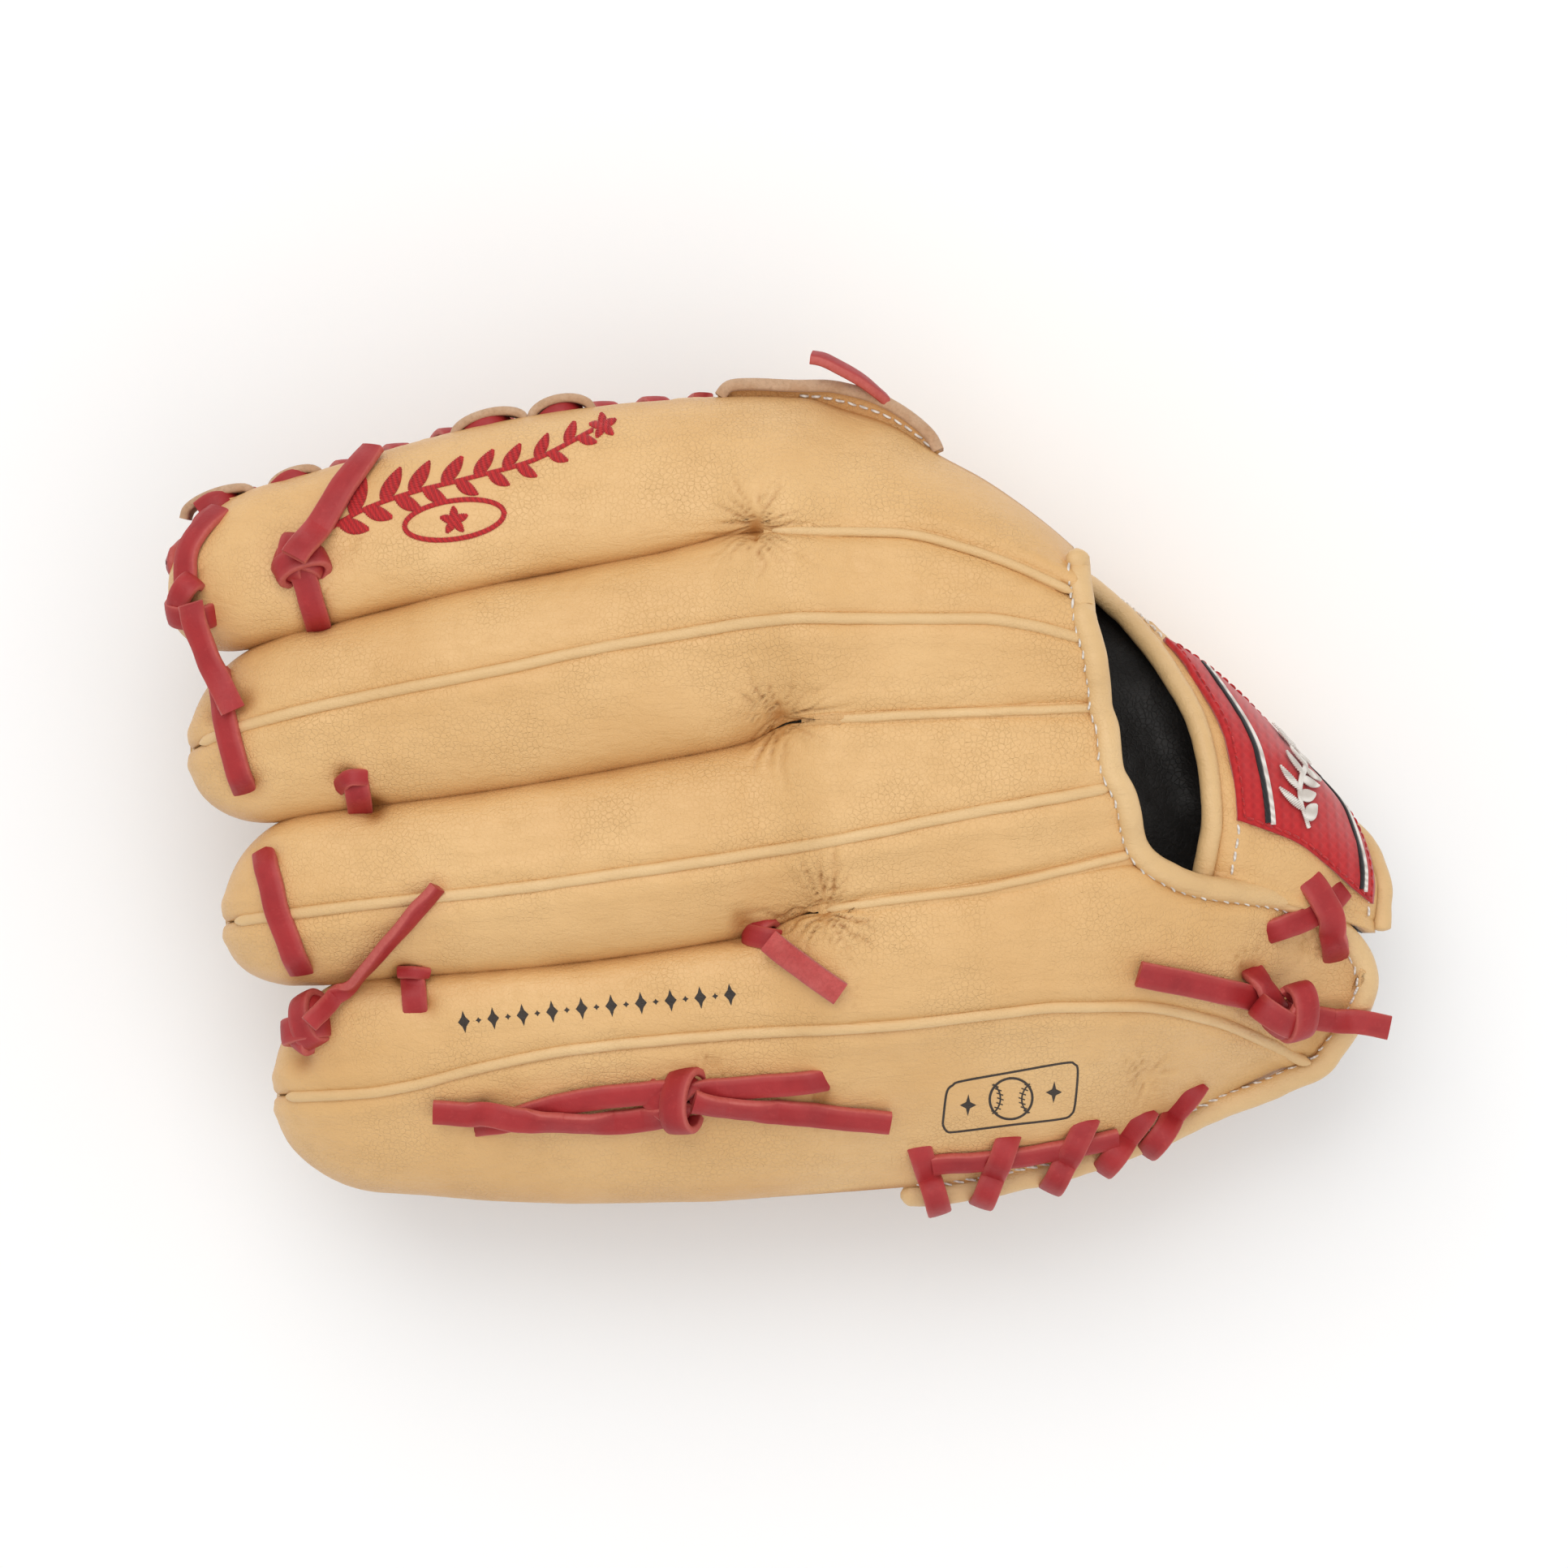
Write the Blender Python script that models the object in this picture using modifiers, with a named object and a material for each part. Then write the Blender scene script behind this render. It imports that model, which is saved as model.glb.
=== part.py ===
"""Baseball fielder's glove for the left hand, folded shut and lying on its thumb.

Frame: metres, +Z up. The glove rests on z = 0 on the back of its thumb stall. +X runs from the
fingertips to the wrist, +Y from the little finger to the index finger and the web. The shape
functions below work in millimetres.
"""
import math

import bmesh
import bpy
import numpy as np

MM = 0.001

# ---------------------------------------------------------------- driving dimensions (mm)
LEATHER = 2.0            # shell leather
LINER = 1.2              # black lining leather
FELT = 4.5               # pads in the stalls
LACE_WIDTH = 6.0
LACE_THICK = 2.4
WELT_RADIUS = 1.55       # raised piping in the seams
WELT_GAP = 2.4           # half the slot that a welt lies in
BINDING_RADIUS = 2.3     # rolled edges of the opening and the heel
GAP = 0.4                # left between neighbours that touch
STALL_CROWN = 16.0       # top of a stall above its side seams
STALL_BELLY = 13.0       # bottom of a stall below its side seams
HAND_RISE = 15.0         # seams on the back of the hand above the middle of the stalls
PALM_START = -21.4       # where the finger fronts end and the palm leather starts
THUMB_LEVEL = 17.0       # height of the thumb stall's side seams
ROUND = 2.3              # fullness of a stall's section, 2 is an ellipse
SEAM_DROP = 2.6          # a front panel's edge below its back panel's edge
PALM_SEAM = 3.1          # the palm leather's edge from the back panel's edge
CENTRE_X = -0.175          # puts the origin under the middle of the glove
CENTRE_Y = 0.585


def curve(*points):
    """Smooth monotone curve through (x, y) points, as a function."""
    px = np.array([p[0] for p in points], float)
    py = np.array([p[1] for p in points], float)
    h = np.diff(px)
    d = np.diff(py) / h
    m = np.zeros(len(px))
    m[0], m[-1] = d[0], d[-1]
    for i in range(1, len(px) - 1):
        if d[i - 1] * d[i] > 0:
            a = 2 * h[i] + h[i - 1]
            b = h[i] + 2 * h[i - 1]
            m[i] = (a + b) / (a / d[i - 1] + b / d[i])

    def value(x):
        x = min(max(x, px[0]), px[-1])
        i = min(int(np.searchsorted(px, x, side="right")) - 1, len(h) - 1)
        t = (x - px[i]) / h[i]
        return float(
            (1 + 2 * t) * (1 - t) ** 2 * py[i] + t * (1 - t) ** 2 * h[i] * m[i]
            + t * t * (3 - 2 * t) * py[i + 1] + t * t * (t - 1) * h[i] * m[i + 1])
    return value


def step(a, b, x):
    t = min(max((x - a) / (b - a), 0.0), 1.0)
    return t * t * (3 - 2 * t)


def lerp(a, b, t):
    return a + (b - a) * t


# ---------------------------------------------------------------- plan of the seams
OUTLINE = curve((-150, 66), (-129, 71.5), (-110, 76.5), (-79, 85.5), (-52, 90.5), (-15, 93.5),
                (4, 94), (14, 91), (26, 87), (37, 78.5), (50, 69.5), (70, 54), (96, 29), (143, -12))
G0 = curve((-150, 64), (-129, 69), (-110, 73.5), (-79, 82), (-52, 86.5), (-15, 89),
           (4, 89), (14, 86), (26, 82), (37, 74.5), (50, 66), (72, 49))
G1 = curve((-150, 27), (-134, 31.5), (-110, 37.8), (-71, 47.1), (-32, 54.5), (-7, 59.6),
           (26, 59.2), (45, 54.9), (72, 43.5))
G2 = curve((-145, -12.5), (-116, -7.8), (-71, -1.9), (-32, 4.9), (-9, 9.7), (2, 14.5), (26, 15.9),
           (76, 18))
G3 = curve((-137, -52), (-118, -48.5), (-91, -46.6), (-52, -43.3), (-21, -38.8), (-6, -36),
           (6, -31), (22, -28.1), (45, -25.2), (84, -16.5))
G4 = curve((-126, -99.5), (-110, -100.5), (-90, -102), (-52, -103.8), (-21, -103.2), (6, -101.5),
           (26, -100), (45, -98.5), (80, -91), (103, -81), (122, -74), (131, -69.5))
SEAMS = (G0, G1, G2, G3, G4)
CROTCH = (None, -7.0, 2.0, 6.0, None)
TIP = (-149.5, -144.5, -136.5, -125.5)
CAP = (25.0, 25.0, 24.0, 27.0)

CENTRE_MIDDLE = curve((-145, 7.8), (-129, 13.6), (-110, 18.4), (-71, 26.2), (-32, 34), (6, 38.8),
                      (45, 38.8), (76, 33))
CENTRE_RING = curve((-137, -34), (-110, -30.1), (-71, -25.8), (-32, -20.4), (6, -14.5), (45, -6.8),
                    (86, 0.5))
CENTRE_LITTLE = curve((-126, -76.6), (-100, -74.7), (-71, -67.9), (-52, -64), (-13, -60.1),
                      (26, -57.6), (45, -55.5), (68, -53.4), (84, -53.4), (103, -57.2),
                      (131, -67.5), (141, -49.5))
MIDDLES = (None, CENTRE_MIDDLE, CENTRE_RING, CENTRE_LITTLE)
LOBE_TOP = curve((-137, -52), (-118, -48.5), (-91, -46.6), (-52, -43.3), (-21, -38.8), (-6, -36),
                 (6, -31), (22, -28.1), (45, -25.2), (80, -19), (90, -25), (103, -28), (123, -30),
                 (134, -34), (141, -43.5))
OPENING = curve((-30, 90), (-20, 86.5), (-5, 83), (20, 76), (38, 73.5), (46, 72.5), (60, 71.5))

THUMB_OUT = curve((-112, 27), (-60, 32), (-12, 38), (20, 48), (50, 46), (70, 38), (95, 21),
                  (125, -3))
THUMB_IN = curve((-112, -21), (-60, -22), (-12, -26), (20, -32), (50, -38), (80, -45),
                 (110, -52), (125, -54))
THUMB_TIP = -112.0
FOLD = curve((-22, 48), (2, 48), (30, 43), (50, 29), (70, 13), (95, -10), (118, -30))

# ---------------------------------------------------------------- heights
ACROSS = curve((-110, 56), (-104, 58), (-45, 82), (0, 90.5), (47, 91), (75, 84), (95, 75))
LIFT = curve((-150, -16), (-120, -9), (-80, -3), (-40, 0), (0, 2), (40, 0), (75, -5), (85, -8.5),
             (103, -17), (125, -29), (142, -38))
DROP = curve((-22, 14.5), (20, 20), (70, 20), (110, 15), (130, 13))


def mid(x, y):
    """Middle height of the finger side of the glove."""
    return ACROSS(y) + LIFT(x)


def cap(x, tip, length):
    """Roundness of a stall's end, 0 at the tip and 1 past the cap."""
    u = min(max((x - tip) / length, 0.0), 1.0)
    return (1 - (1 - u) ** 2.2) ** (1 / 2.2)


def arch(t):
    return (1 - min(abs(t), 1.0) ** ROUND) ** (1 / ROUND)


def rise(j, x):
    if CROTCH[j] is None:
        return 0.0
    return HAND_RISE * step(CROTCH[j] - 12, CROTCH[j] + 10, x)


def seam_height(j, x):
    return mid(x, SEAMS[j](x)) + rise(j, x)


def crowned(t, c, low, up, z_low, z_up, crown, hand):
    """Point across a panel that arches over the line between its two seams."""
    z_c = lerp(z_low, z_up, (c - low) / max(up - low, 0.01))
    y = c + t * ((up - c) if t > 0 else (c - low))
    line = lerp(z_c, z_up if t > 0 else z_low, abs(t))
    return y, line + crown * lerp(arch(t), 1 - t * t * (0.72 + 0.28 * abs(t)), hand)


def back(i, x, t, centre=None):
    """Point on the outer skin of digit i's back panel: t = 1 is the side of the index finger."""
    up = SEAMS[i](x)
    low = SEAMS[i + 1](x)
    c = centre(x) if centre else (up + low) / 2
    k = cap(x, TIP[i], CAP[i])
    up, low = c + (up - 0.5 - c) * k, c + (low + 0.5 - c) * k
    hand = step(-16, 18, x)
    z_up = mid(x, up) + rise(i, x)
    z_low = mid(x, low) + rise(i + 1, x)
    crown = lerp(STALL_CROWN, 4.5 if i else 7.0, hand) * k
    return crowned(t, c, low, up, z_low, z_up, crown, hand)


def little_lobe(x, t):
    """Back skin of the little finger and the heel lobe; t = 1 is LOBE_TOP, t = -1 the outer edge."""
    c = CENTRE_LITTLE(x)
    k = cap(x, TIP[3], CAP[3])
    up = c + (LOBE_TOP(x) - 0.5 - c) * k
    low = c + (G4(x) + 0.5 - c) * k
    hand = step(-4, 22, x)
    heel = step(95, 141, x)
    z_up = mid(x, up) + HAND_RISE * step(CROTCH[3] - 12, CROTCH[3] + 10, x) + 2 * step(60, 90, x)
    z_low = mid(x, low)
    crown = lerp(STALL_CROWN, lerp(12.5, 8.0, heel), hand) * k
    return crowned(t, c, low, up, z_low, z_up, crown, hand)


def front(i, x, t, inset=0.0):
    """Point on the outer skin of digit i's front panel, inset mm inside it."""
    up, low = SEAMS[i](x), SEAMS[i + 1](x)
    c = MIDDLES[i](x) if MIDDLES[i] else (up + low) / 2
    k = cap(x, TIP[i], CAP[i])
    y = c + k * t * ((up - 0.5 - c) if t > 0 else (c - low - 0.5))
    return x, y, mid(x, y) - SEAM_DROP - (STALL_BELLY - inset) * k * arch(t)


# ---------------------------------------------------------------- helpers
def collection(name):
    made = bpy.data.collections.new(name)
    bpy.context.scene.collection.children.link(made)
    return made


for old in list(bpy.data.objects):
    bpy.data.objects.remove(old, do_unlink=True)
GLOVE = collection("baseball_glove")

LOOKS = {
    "tan_leather": ((0.73, 0.44, 0.19, 1.0), 0.42),
    "welt_leather": ((0.75, 0.50, 0.25, 1.0), 0.45),
    "red_lace": ((0.48, 0.031, 0.029, 1.0), 0.5),
    "web_leather": ((0.54, 0.32, 0.17, 1.0), 0.6),
    "black_lining": ((0.004, 0.003, 0.002, 1.0), 0.7),
    "wool_felt": ((0.55, 0.52, 0.46, 1.0), 0.95),
    "red_cloth": ((0.55, 0.025, 0.025, 1.0), 0.85),
}


def material(name):
    found = bpy.data.materials.get(name)
    if found:
        return found
    made = bpy.data.materials.new(name)
    made.use_nodes = True
    shader = made.node_tree.nodes["Principled BSDF"]
    shader.inputs["Base Color"].default_value = LOOKS[name][0]
    shader.inputs["Roughness"].default_value = LOOKS[name][1]
    shader.inputs["Metallic"].default_value = 0.0
    return made


def place(name, mesh, look):
    made = bpy.data.objects.new(name, mesh)
    GLOVE.objects.link(made)
    mesh.materials.clear()
    mesh.materials.append(material(look))
    return made


def sheet(name, rows, thickness, look, side=-1.0):
    """Open surface lofted through rows of points, thickened by Solidify towards one side."""
    work = bmesh.new()
    grid = [[work.verts.new([c * MM for c in p]) for p in row] for row in rows]
    for a, b in zip(grid, grid[1:]):
        for k in range(len(a) - 1):
            work.faces.new((a[k], b[k], b[k + 1], a[k + 1]))
    mesh = bpy.data.meshes.new(name)
    work.to_mesh(mesh)
    work.free()
    mesh.shade_smooth()
    made = place(name, mesh, look)
    solid = made.modifiers.new("Solidify", "SOLIDIFY")
    solid.thickness = thickness * MM
    solid.offset = side
    solid.use_even_offset = False
    return made


def cord(name, points, radius, look, sides=1):
    """Round cord or piping along a polyline, with filled ends."""
    data = bpy.data.curves.new(name, "CURVE")
    data.dimensions = "3D"
    data.bevel_depth = radius * MM
    data.bevel_resolution = sides
    data.use_fill_caps = True
    spline = data.splines.new("POLY")
    spline.points.add(len(points) - 1)
    for target, p in zip(spline.points, points):
        target.co = (p[0] * MM, p[1] * MM, p[2] * MM, 1.0)
    made = bpy.data.objects.new(name, data)
    GLOVE.objects.link(made)
    data.materials.append(material(look))
    return made


def span(a, b, n):
    return [lerp(a, b, k / (n - 1)) for k in range(n)]


def stations(tip, length, end, n_cap, n_run):
    """Stations along a stall, close together where its end is round."""
    head = [tip + length * (1 - math.cos(0.5 * math.pi * k / n_cap)) for k in range(n_cap)]
    head[0] = tip + 0.35
    return head + span(tip + length, end, n_run)


# ---------------------------------------------------------------- back panels of the fingers


def panel(name, xs, point, ts, low_trim, high_trim):
    """Back panel over the fractions ts, trimmed by functions of x at its two sides."""
    rows = []
    for x in xs:
        ys = [point(x, t) for t in (ts[0], ts[-1])]
        wide = max(abs(ys[1][0] - ys[0][0]), 0.01)
        a = min(low_trim(x) / wide, 0.4)
        b = min(high_trim(x) / wide, 0.4)
        row = []
        for t in ts:
            u = (t - ts[0]) / (ts[-1] - ts[0])
            v = lerp(a, 1 - b, u)
            y, z = point(x, lerp(ts[0], ts[-1], v))
            row.append((x, y, z))
        rows.append(row)
    return sheet(name, rows, LEATHER, "tan_leather")


def welted(j):
    """Trim at seam j: none along the stalls, a welt's slot past the crotch."""
    return lambda x: WELT_GAP * step(CROTCH[j] - 10, CROTCH[j] + 2, x)


def no_trim(x):
    return 0.0


def welt_trim(x):
    return WELT_GAP


SIDE = [-1.0, -0.93, -0.76, -0.5, -0.24, 0.0]
FULL = SIDE + [-t for t in reversed(SIDE[:-1])]

index_back = lambda x, t: back(0, x, t)
middle_back = lambda x, t: back(1, x, t, centre=CENTRE_MIDDLE)
ring_back = lambda x, t: back(2, x, t, centre=CENTRE_RING)

panel("index_back", stations(TIP[0], CAP[0], 66.0, 4, 9), index_back, FULL, welted(1), no_trim)
panel("middle_back_lower", stations(TIP[1], CAP[1], 69.3, 4, 9), middle_back, SIDE,
      welted(2), welt_trim)
panel("middle_back_upper", stations(TIP[1], CAP[1], 68.0, 4, 9), middle_back,
      [-t for t in reversed(SIDE)], welt_trim, welted(1))
panel("ring_back_lower", stations(TIP[2], CAP[2], 78.0, 4, 9), ring_back, SIDE,
      welted(3), welt_trim)
panel("ring_back_upper", stations(TIP[2], CAP[2], 73.0, 4, 9), ring_back,
      [-t for t in reversed(SIDE)], welt_trim, welted(2))
panel("little_back_lower", stations(TIP[3], CAP[3], 124.0, 4, 13), little_lobe, SIDE,
      no_trim, welt_trim)
panel("little_back_upper", stations(TIP[3], CAP[3], 137.0, 4, 13), little_lobe,
      [-t for t in reversed(SIDE)], welt_trim, welted(3))

# ---------------------------------------------------------------- fronts and pads of the fingers
FRONT = [-1.0, -0.86, -0.55, -0.2, 0.2, 0.55, 0.86, 1.0]
PAD = [-0.52, -0.2, 0.2, 0.52]
DIGITS = ("index", "middle", "ring", "little")


for i, digit in enumerate(DIGITS):
    xs = stations(TIP[i], CAP[i], PALM_START - 0.6, 4, 5)
    sheet(digit + "_front", [[front(i, x, t) for t in FRONT] for x in xs], LEATHER,
          "tan_leather", 1.0)
    xs = span(TIP[i] + 20, PALM_START - 8, 5)
    rows = [[front(i, x, t, LEATHER + 1.5) for t in PAD] for x in xs]
    sheet(digit + "_felt", rows, FELT, "wool_felt", 1.0)


# ---------------------------------------------------------------- palm of the finger side
def palm(x, y, lift=0.0):
    """Outer skin of the palm leather on the finger side."""
    s = min(max((y - G4(x) - 0.5) / 24.0, 0.0), 1.0)
    return mid(x, y) - PALM_SEAM - (DROP(x) - lift) * (1 - (1 - s) ** 2.6)


def palm_rows(x0, x1, n, y_low, y_high, lift, columns=11):
    rows = []
    for x in span(x0, x1, n):
        a, b = y_low(x), y_high(x)
        ys = [lerp(a, b, (k / (columns - 1)) ** 1.35) for k in range(columns)]
        rows.append([(x, y, palm(x, y, lift)) for y in ys])
    return rows


sheet("palm_finger_side", palm_rows(PALM_START, 118, 12, lambda x: G4(x) + 0.5, FOLD, 0.0),
      LEATHER, "tan_leather", 1.0)
sheet("palm_felt", palm_rows(-12, 76, 7, lambda x: G4(x) + 18, lambda x: FOLD(x) - 2,
                             LEATHER + 1.7, 6), FELT, "wool_felt", 1.0)
sheet("heel_felt_little", palm_rows(77, 116, 5, lambda x: G4(x) + 18, lambda x: FOLD(x) - 2,
                                    LEATHER + 1.7, 6), FELT, "wool_felt", 1.0)
sheet("palm_lining", palm_rows(-12, 114, 9, lambda x: G4(x) + 19, lambda x: FOLD(x) - 3,
                               LEATHER + FELT + 3.6, 7), LINER, "black_lining", 1.0)

# ---------------------------------------------------------------- thumb
THUMB_CROWN = 20.0


def thumb_back(x, t):
    """Back skin of the thumb, which faces the floor and lies flat on it along its middle."""
    up, low = THUMB_OUT(x), THUMB_IN(x)
    c, w = (up + low) / 2, (up - low) / 2
    k = cap(x, THUMB_TIP, 25.0)
    z = THUMB_LEVEL - THUMB_CROWN * k * arch(t)
    return c + w * k * t, max(z, 0.0)


THUMB_SIDE = [-1.0, -0.92, -0.76, -0.58, -0.3, 0.0]


def thumb_panel(name, ts, low_trim, high_trim):
    rows = []
    for x in stations(THUMB_TIP, 25.0, 122.0, 4, 9):
        wide = abs(thumb_back(x, ts[-1])[0] - thumb_back(x, ts[0])[0])
        a = min(low_trim / max(wide, 0.01), 0.3)
        b = min(high_trim / max(wide, 0.01), 0.3)
        row = []
        for t in ts:
            v = lerp(a, 1 - b, (t - ts[0]) / (ts[-1] - ts[0]))
            y, z = thumb_back(x, lerp(ts[0], ts[-1], v))
            row.append((x, y, z))
        rows.append(row)
    return sheet(name, rows, LEATHER, "tan_leather", 1.0)


thumb_panel("thumb_back_inner", THUMB_SIDE, 0.0, 0.3)
thumb_panel("thumb_back_outer", [-t for t in reversed(THUMB_SIDE)], 0.3, 0.0)


def thumb_front(x, t, inset=0.0):
    up, low = THUMB_OUT(x), THUMB_IN(x)
    c, w = (up + low) / 2, (up - low) / 2
    k = cap(x, THUMB_TIP, 25.0)
    return x, c + w * k * t, THUMB_LEVEL + SEAM_DROP + (STALL_BELLY - inset) * k * arch(t)


xs = stations(THUMB_TIP, 25.0, PALM_START - 0.6, 4, 5)
sheet("thumb_front", [[thumb_front(x, t) for t in FRONT] for x in xs], LEATHER, "tan_leather")
rows = [[thumb_front(x, t, LEATHER + 1.5) for t in PAD] for x in span(-90, PALM_START - 8, 5)]
sheet("thumb_felt", rows, FELT, "wool_felt")

THUMB_PALM = curve((-22, 13), (20, 14.5), (70, 12), (110, 8), (125, 7))


def thumb_palm(x, y, lift=0.0):
    s = min(max((y - THUMB_IN(x)) / 24.0, 0.0), 1.0)
    return THUMB_LEVEL + PALM_SEAM + (THUMB_PALM(x) - lift) * (1 - (1 - s) ** 2.6)


def thumb_palm_rows(x0, x1, n, y_low, y_high, lift, columns):
    rows = []
    for x in span(x0, x1, n):
        a, b = y_low(x), y_high(x)
        ys = [lerp(a, b, (k / (columns - 1)) ** 1.35) for k in range(columns)]
        rows.append([(x, y, thumb_palm(x, y, lift)) for y in ys])
    return rows


def thumb_fold(x):
    return min(FOLD(x), THUMB_OUT(x) - 6)


sheet("palm_thumb_side", thumb_palm_rows(PALM_START, 116, 11, THUMB_IN, thumb_fold, 0.0, 8),
      LEATHER, "tan_leather")
sheet("heel_felt_thumb", thumb_palm_rows(40, 110, 5, lambda x: THUMB_IN(x) + 16,
                                         lambda x: thumb_fold(x) - 1.5, LEATHER + 1.7, 5),
      FELT, "wool_felt")

# ---------------------------------------------------------------- leather round the fold
def bowed(y0, z0, y1, z1, bow, n):
    """Section between two points that bows outwards by bow mm, towards +Y."""
    wide = math.hypot(y1 - y0, z1 - z0)
    out_y, out_z = (z0 - z1) / wide, -(y0 - y1) / wide
    made = []
    for s in span(0.0, 1.0, n):
        b = bow * math.sin(math.pi * s)
        made.append((lerp(y0, y1, s) + out_y * b, lerp(z0, z1, s) + out_z * b))
    return made


rows = []
for x in span(-1, 68, 9):
    top = mid(x, G0(x)) - SEAM_DROP - 0.8
    section = bowed(G0(x) - 0.6, top, THUMB_OUT(x) + 1.0, THUMB_LEVEL + 2.4, 6.0, 8)
    rows.append([(x, y, z) for y, z in section])
sheet("fold_back", rows, LEATHER, "tan_leather", 1.0)

rows = []
for x in span(-6, 112, 10):
    y0, y1 = FOLD(x) + 1.2, thumb_fold(x) + 1.6
    section = bowed(y0, palm(x, y0), y1, thumb_palm(x, y1 - 1.6), 9.0, 7)
    rows.append([(x, y, z) for y, z in section])
sheet("palm_fold", rows, LEATHER, "tan_leather")

# ---------------------------------------------------------------- web
rows = [[(x, G0(x) + y, mid(x, G0(x)) + z) for y, z in ((1.2, 5), (1.8, -3), (3.2, -12), (4.5, -20))]
        for x in span(-139, -17, 10)]
sheet("web_post_index", rows, 2.6, "web_leather", 1.0)
rows = [[(x, THUMB_OUT(x) + y, z) for y, z in ((1.4, 12), (2.6, 20), (5, 28), (8.5, 36))]
        for x in span(-103, -9, 9)]
sheet("web_post_thumb", rows, 2.6, "web_leather")


def web_bar(name, x0, x1):
    bar = []
    for x in span(x0, x1, 4):
        section = bowed(G0(x) + 4.5, mid(x, G0(x)) - 27.5, THUMB_OUT(x) + 13, 43.5, 6.0, 7)
        bar.append([(x, y, z) for y, z in section])
    sheet(name, bar, 2.6, "web_leather", 1.0)


web_bar("web_top_bar", -101, -86)
web_bar("web_crossbar", -70, -40)
rows = [[(x, G0(x) + y, mid(x, G0(x)) + z) for y, z in ((2.1, 6), (2.5, -2), (2.5, -11))]
        for x in span(-14, 35, 7)]
sheet("web_base", rows, 2.6, "web_leather", 1.0)
cord("web_lace_index", [(x, G0(x) + 6.0, mid(x, G0(x)) - 24.5) for x in span(-136, -14, 9)], 2.0,
     "red_lace")
cord("web_lace_thumb", [(x, THUMB_OUT(x) + 9.5, 40.5) for x in span(-101, -12, 7)], 2.0,
     "red_lace")

# ---------------------------------------------------------------- wrist strap
INNER_X = curve((0, 103), (0.2, 105.5), (0.4, 103.5), (0.6, 95.5), (0.8, 84), (1, 73))
INNER_Y = curve((0, -25.5), (0.2, -8), (0.4, 10), (0.6, 28), (0.8, 42), (1, 47))
INNER_Z = curve((0, 84), (0.2, 87), (0.4, 83), (0.6, 72), (0.8, 54), (1, 27))
OUTER_X = curve((0, 144.8), (0.2, 145.4), (0.4, 142.5), (0.6, 134), (0.8, 124.5), (1, 116))
OUTER_Y = curve((0, -36.5), (0.2, -25.5), (0.4, -13), (0.6, -4), (0.8, 2.5), (1, 6))
OUTER_Z = curve((0, 62), (0.2, 62), (0.4, 54), (0.6, 43), (0.8, 32), (1, 22))
STRAP_BOW = 4.0


def strap(u, v, out=0.0):
    """Point on the strap's outer skin: u runs along it from the heel, v across it from the hand."""
    x = lerp(INNER_X(u), OUTER_X(u), v)
    y = lerp(INNER_Y(u), OUTER_Y(u), v)
    z = lerp(INNER_Z(u), OUTER_Z(u), v)
    bow = STRAP_BOW * 4 * v * (1 - v) + out
    turn = lerp(0.15, 1.25, step(0.05, 0.95, u))
    return x + 0.45 * bow, y + 0.893 * bow * math.sin(turn), z + 0.893 * bow * math.cos(turn)


rows = [[strap(u, v) for v in span(0.0, 1.0, 6)] for u in span(0.0, 1.0, 10)]
sheet("wrist_strap", rows, 3.0, "tan_leather", 1.0)
rows = [[strap(u, v, 0.9) for v in span(0.07, 0.93, 6)] for u in span(0.13, 0.66, 8)]
sheet("strap_label", rows, 1.4, "red_cloth")
cord("strap_binding_hand", [strap(u, -0.065, -1.3) for u in span(0.03, 0.97, 13)], BINDING_RADIUS,
     "welt_leather")
cord("strap_binding_wrist", [strap(u, 1.075, -1.3) for u in span(0.0, 0.97, 13)], BINDING_RADIUS,
     "welt_leather")

# ---------------------------------------------------------------- where the skin is under a point
def solve(point, x, y):
    a, b = -1.0, 1.0
    for _ in range(30):
        m = (a + b) / 2
        if point(x, m)[0] < y:
            a = m
        else:
            b = m
    return point(x, (a + b) / 2)[1]


def skin(x, y):
    """Height of the back skin over (x, y), with the centre welts."""
    for centre, tip in ((CENTRE_MIDDLE, TIP[1]), (CENTRE_RING, TIP[2]), (CENTRE_LITTLE, TIP[3])):
        if abs(y - centre(x)) < 3.2 and x > tip:
            return bare_skin(x, y) + 2.2
    return bare_skin(x, y)


def bare_skin(x, y):
    if y > G1(x) and x < 68:
        return solve(index_back, max(x, TIP[0] + 1), y)
    if y > G2(x) and x < 72:
        return solve(middle_back, max(x, TIP[1] + 1), y)
    if y > G3(x) and x < 80:
        return solve(ring_back, max(x, TIP[2] + 1), y)
    return solve(little_lobe, min(max(x, TIP[3] + 1), 141), y)


# ---------------------------------------------------------------- bindings and welts
edge = [(69.6, 49.5), (70.3, 44), (71.6, 36), (73.6, 29), (74.6, 19), (76.2, 13), (77.2, 3),
        (80.9, -4), (82.2, -12), (84.0, -15.5), (89, -19.5), (95, -22.8)]
cord("opening_binding", [(x, y, skin(min(x, 68), y) - 1.5 * step(60, 80, x)) for x, y in edge],
     BINDING_RADIUS, "welt_leather")

lobe = []
for x in (100, 108, 116, 124, 131, 136):
    y = LOBE_TOP(x) - 1.5 - 1.6 * step(123, 134, x)
    lobe.append((x, y, little_lobe(x, 0.85)[1] + BINDING_RADIUS + 3.3))
lobe += [(141.2, -43.8, 66.5), (143.4, -49, 60), (141.5, -55, 54), (137, -63, 48), (132, -70.5, 42)]
for x in (126, 118, 108, 96, 84, 72, 60, 48, 36, 28):
    lobe.append((x, G4(x) - BINDING_RADIUS - 0.5, mid(x, G4(x))))
cord("heel_binding", lobe, BINDING_RADIUS, "welt_leather")

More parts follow.
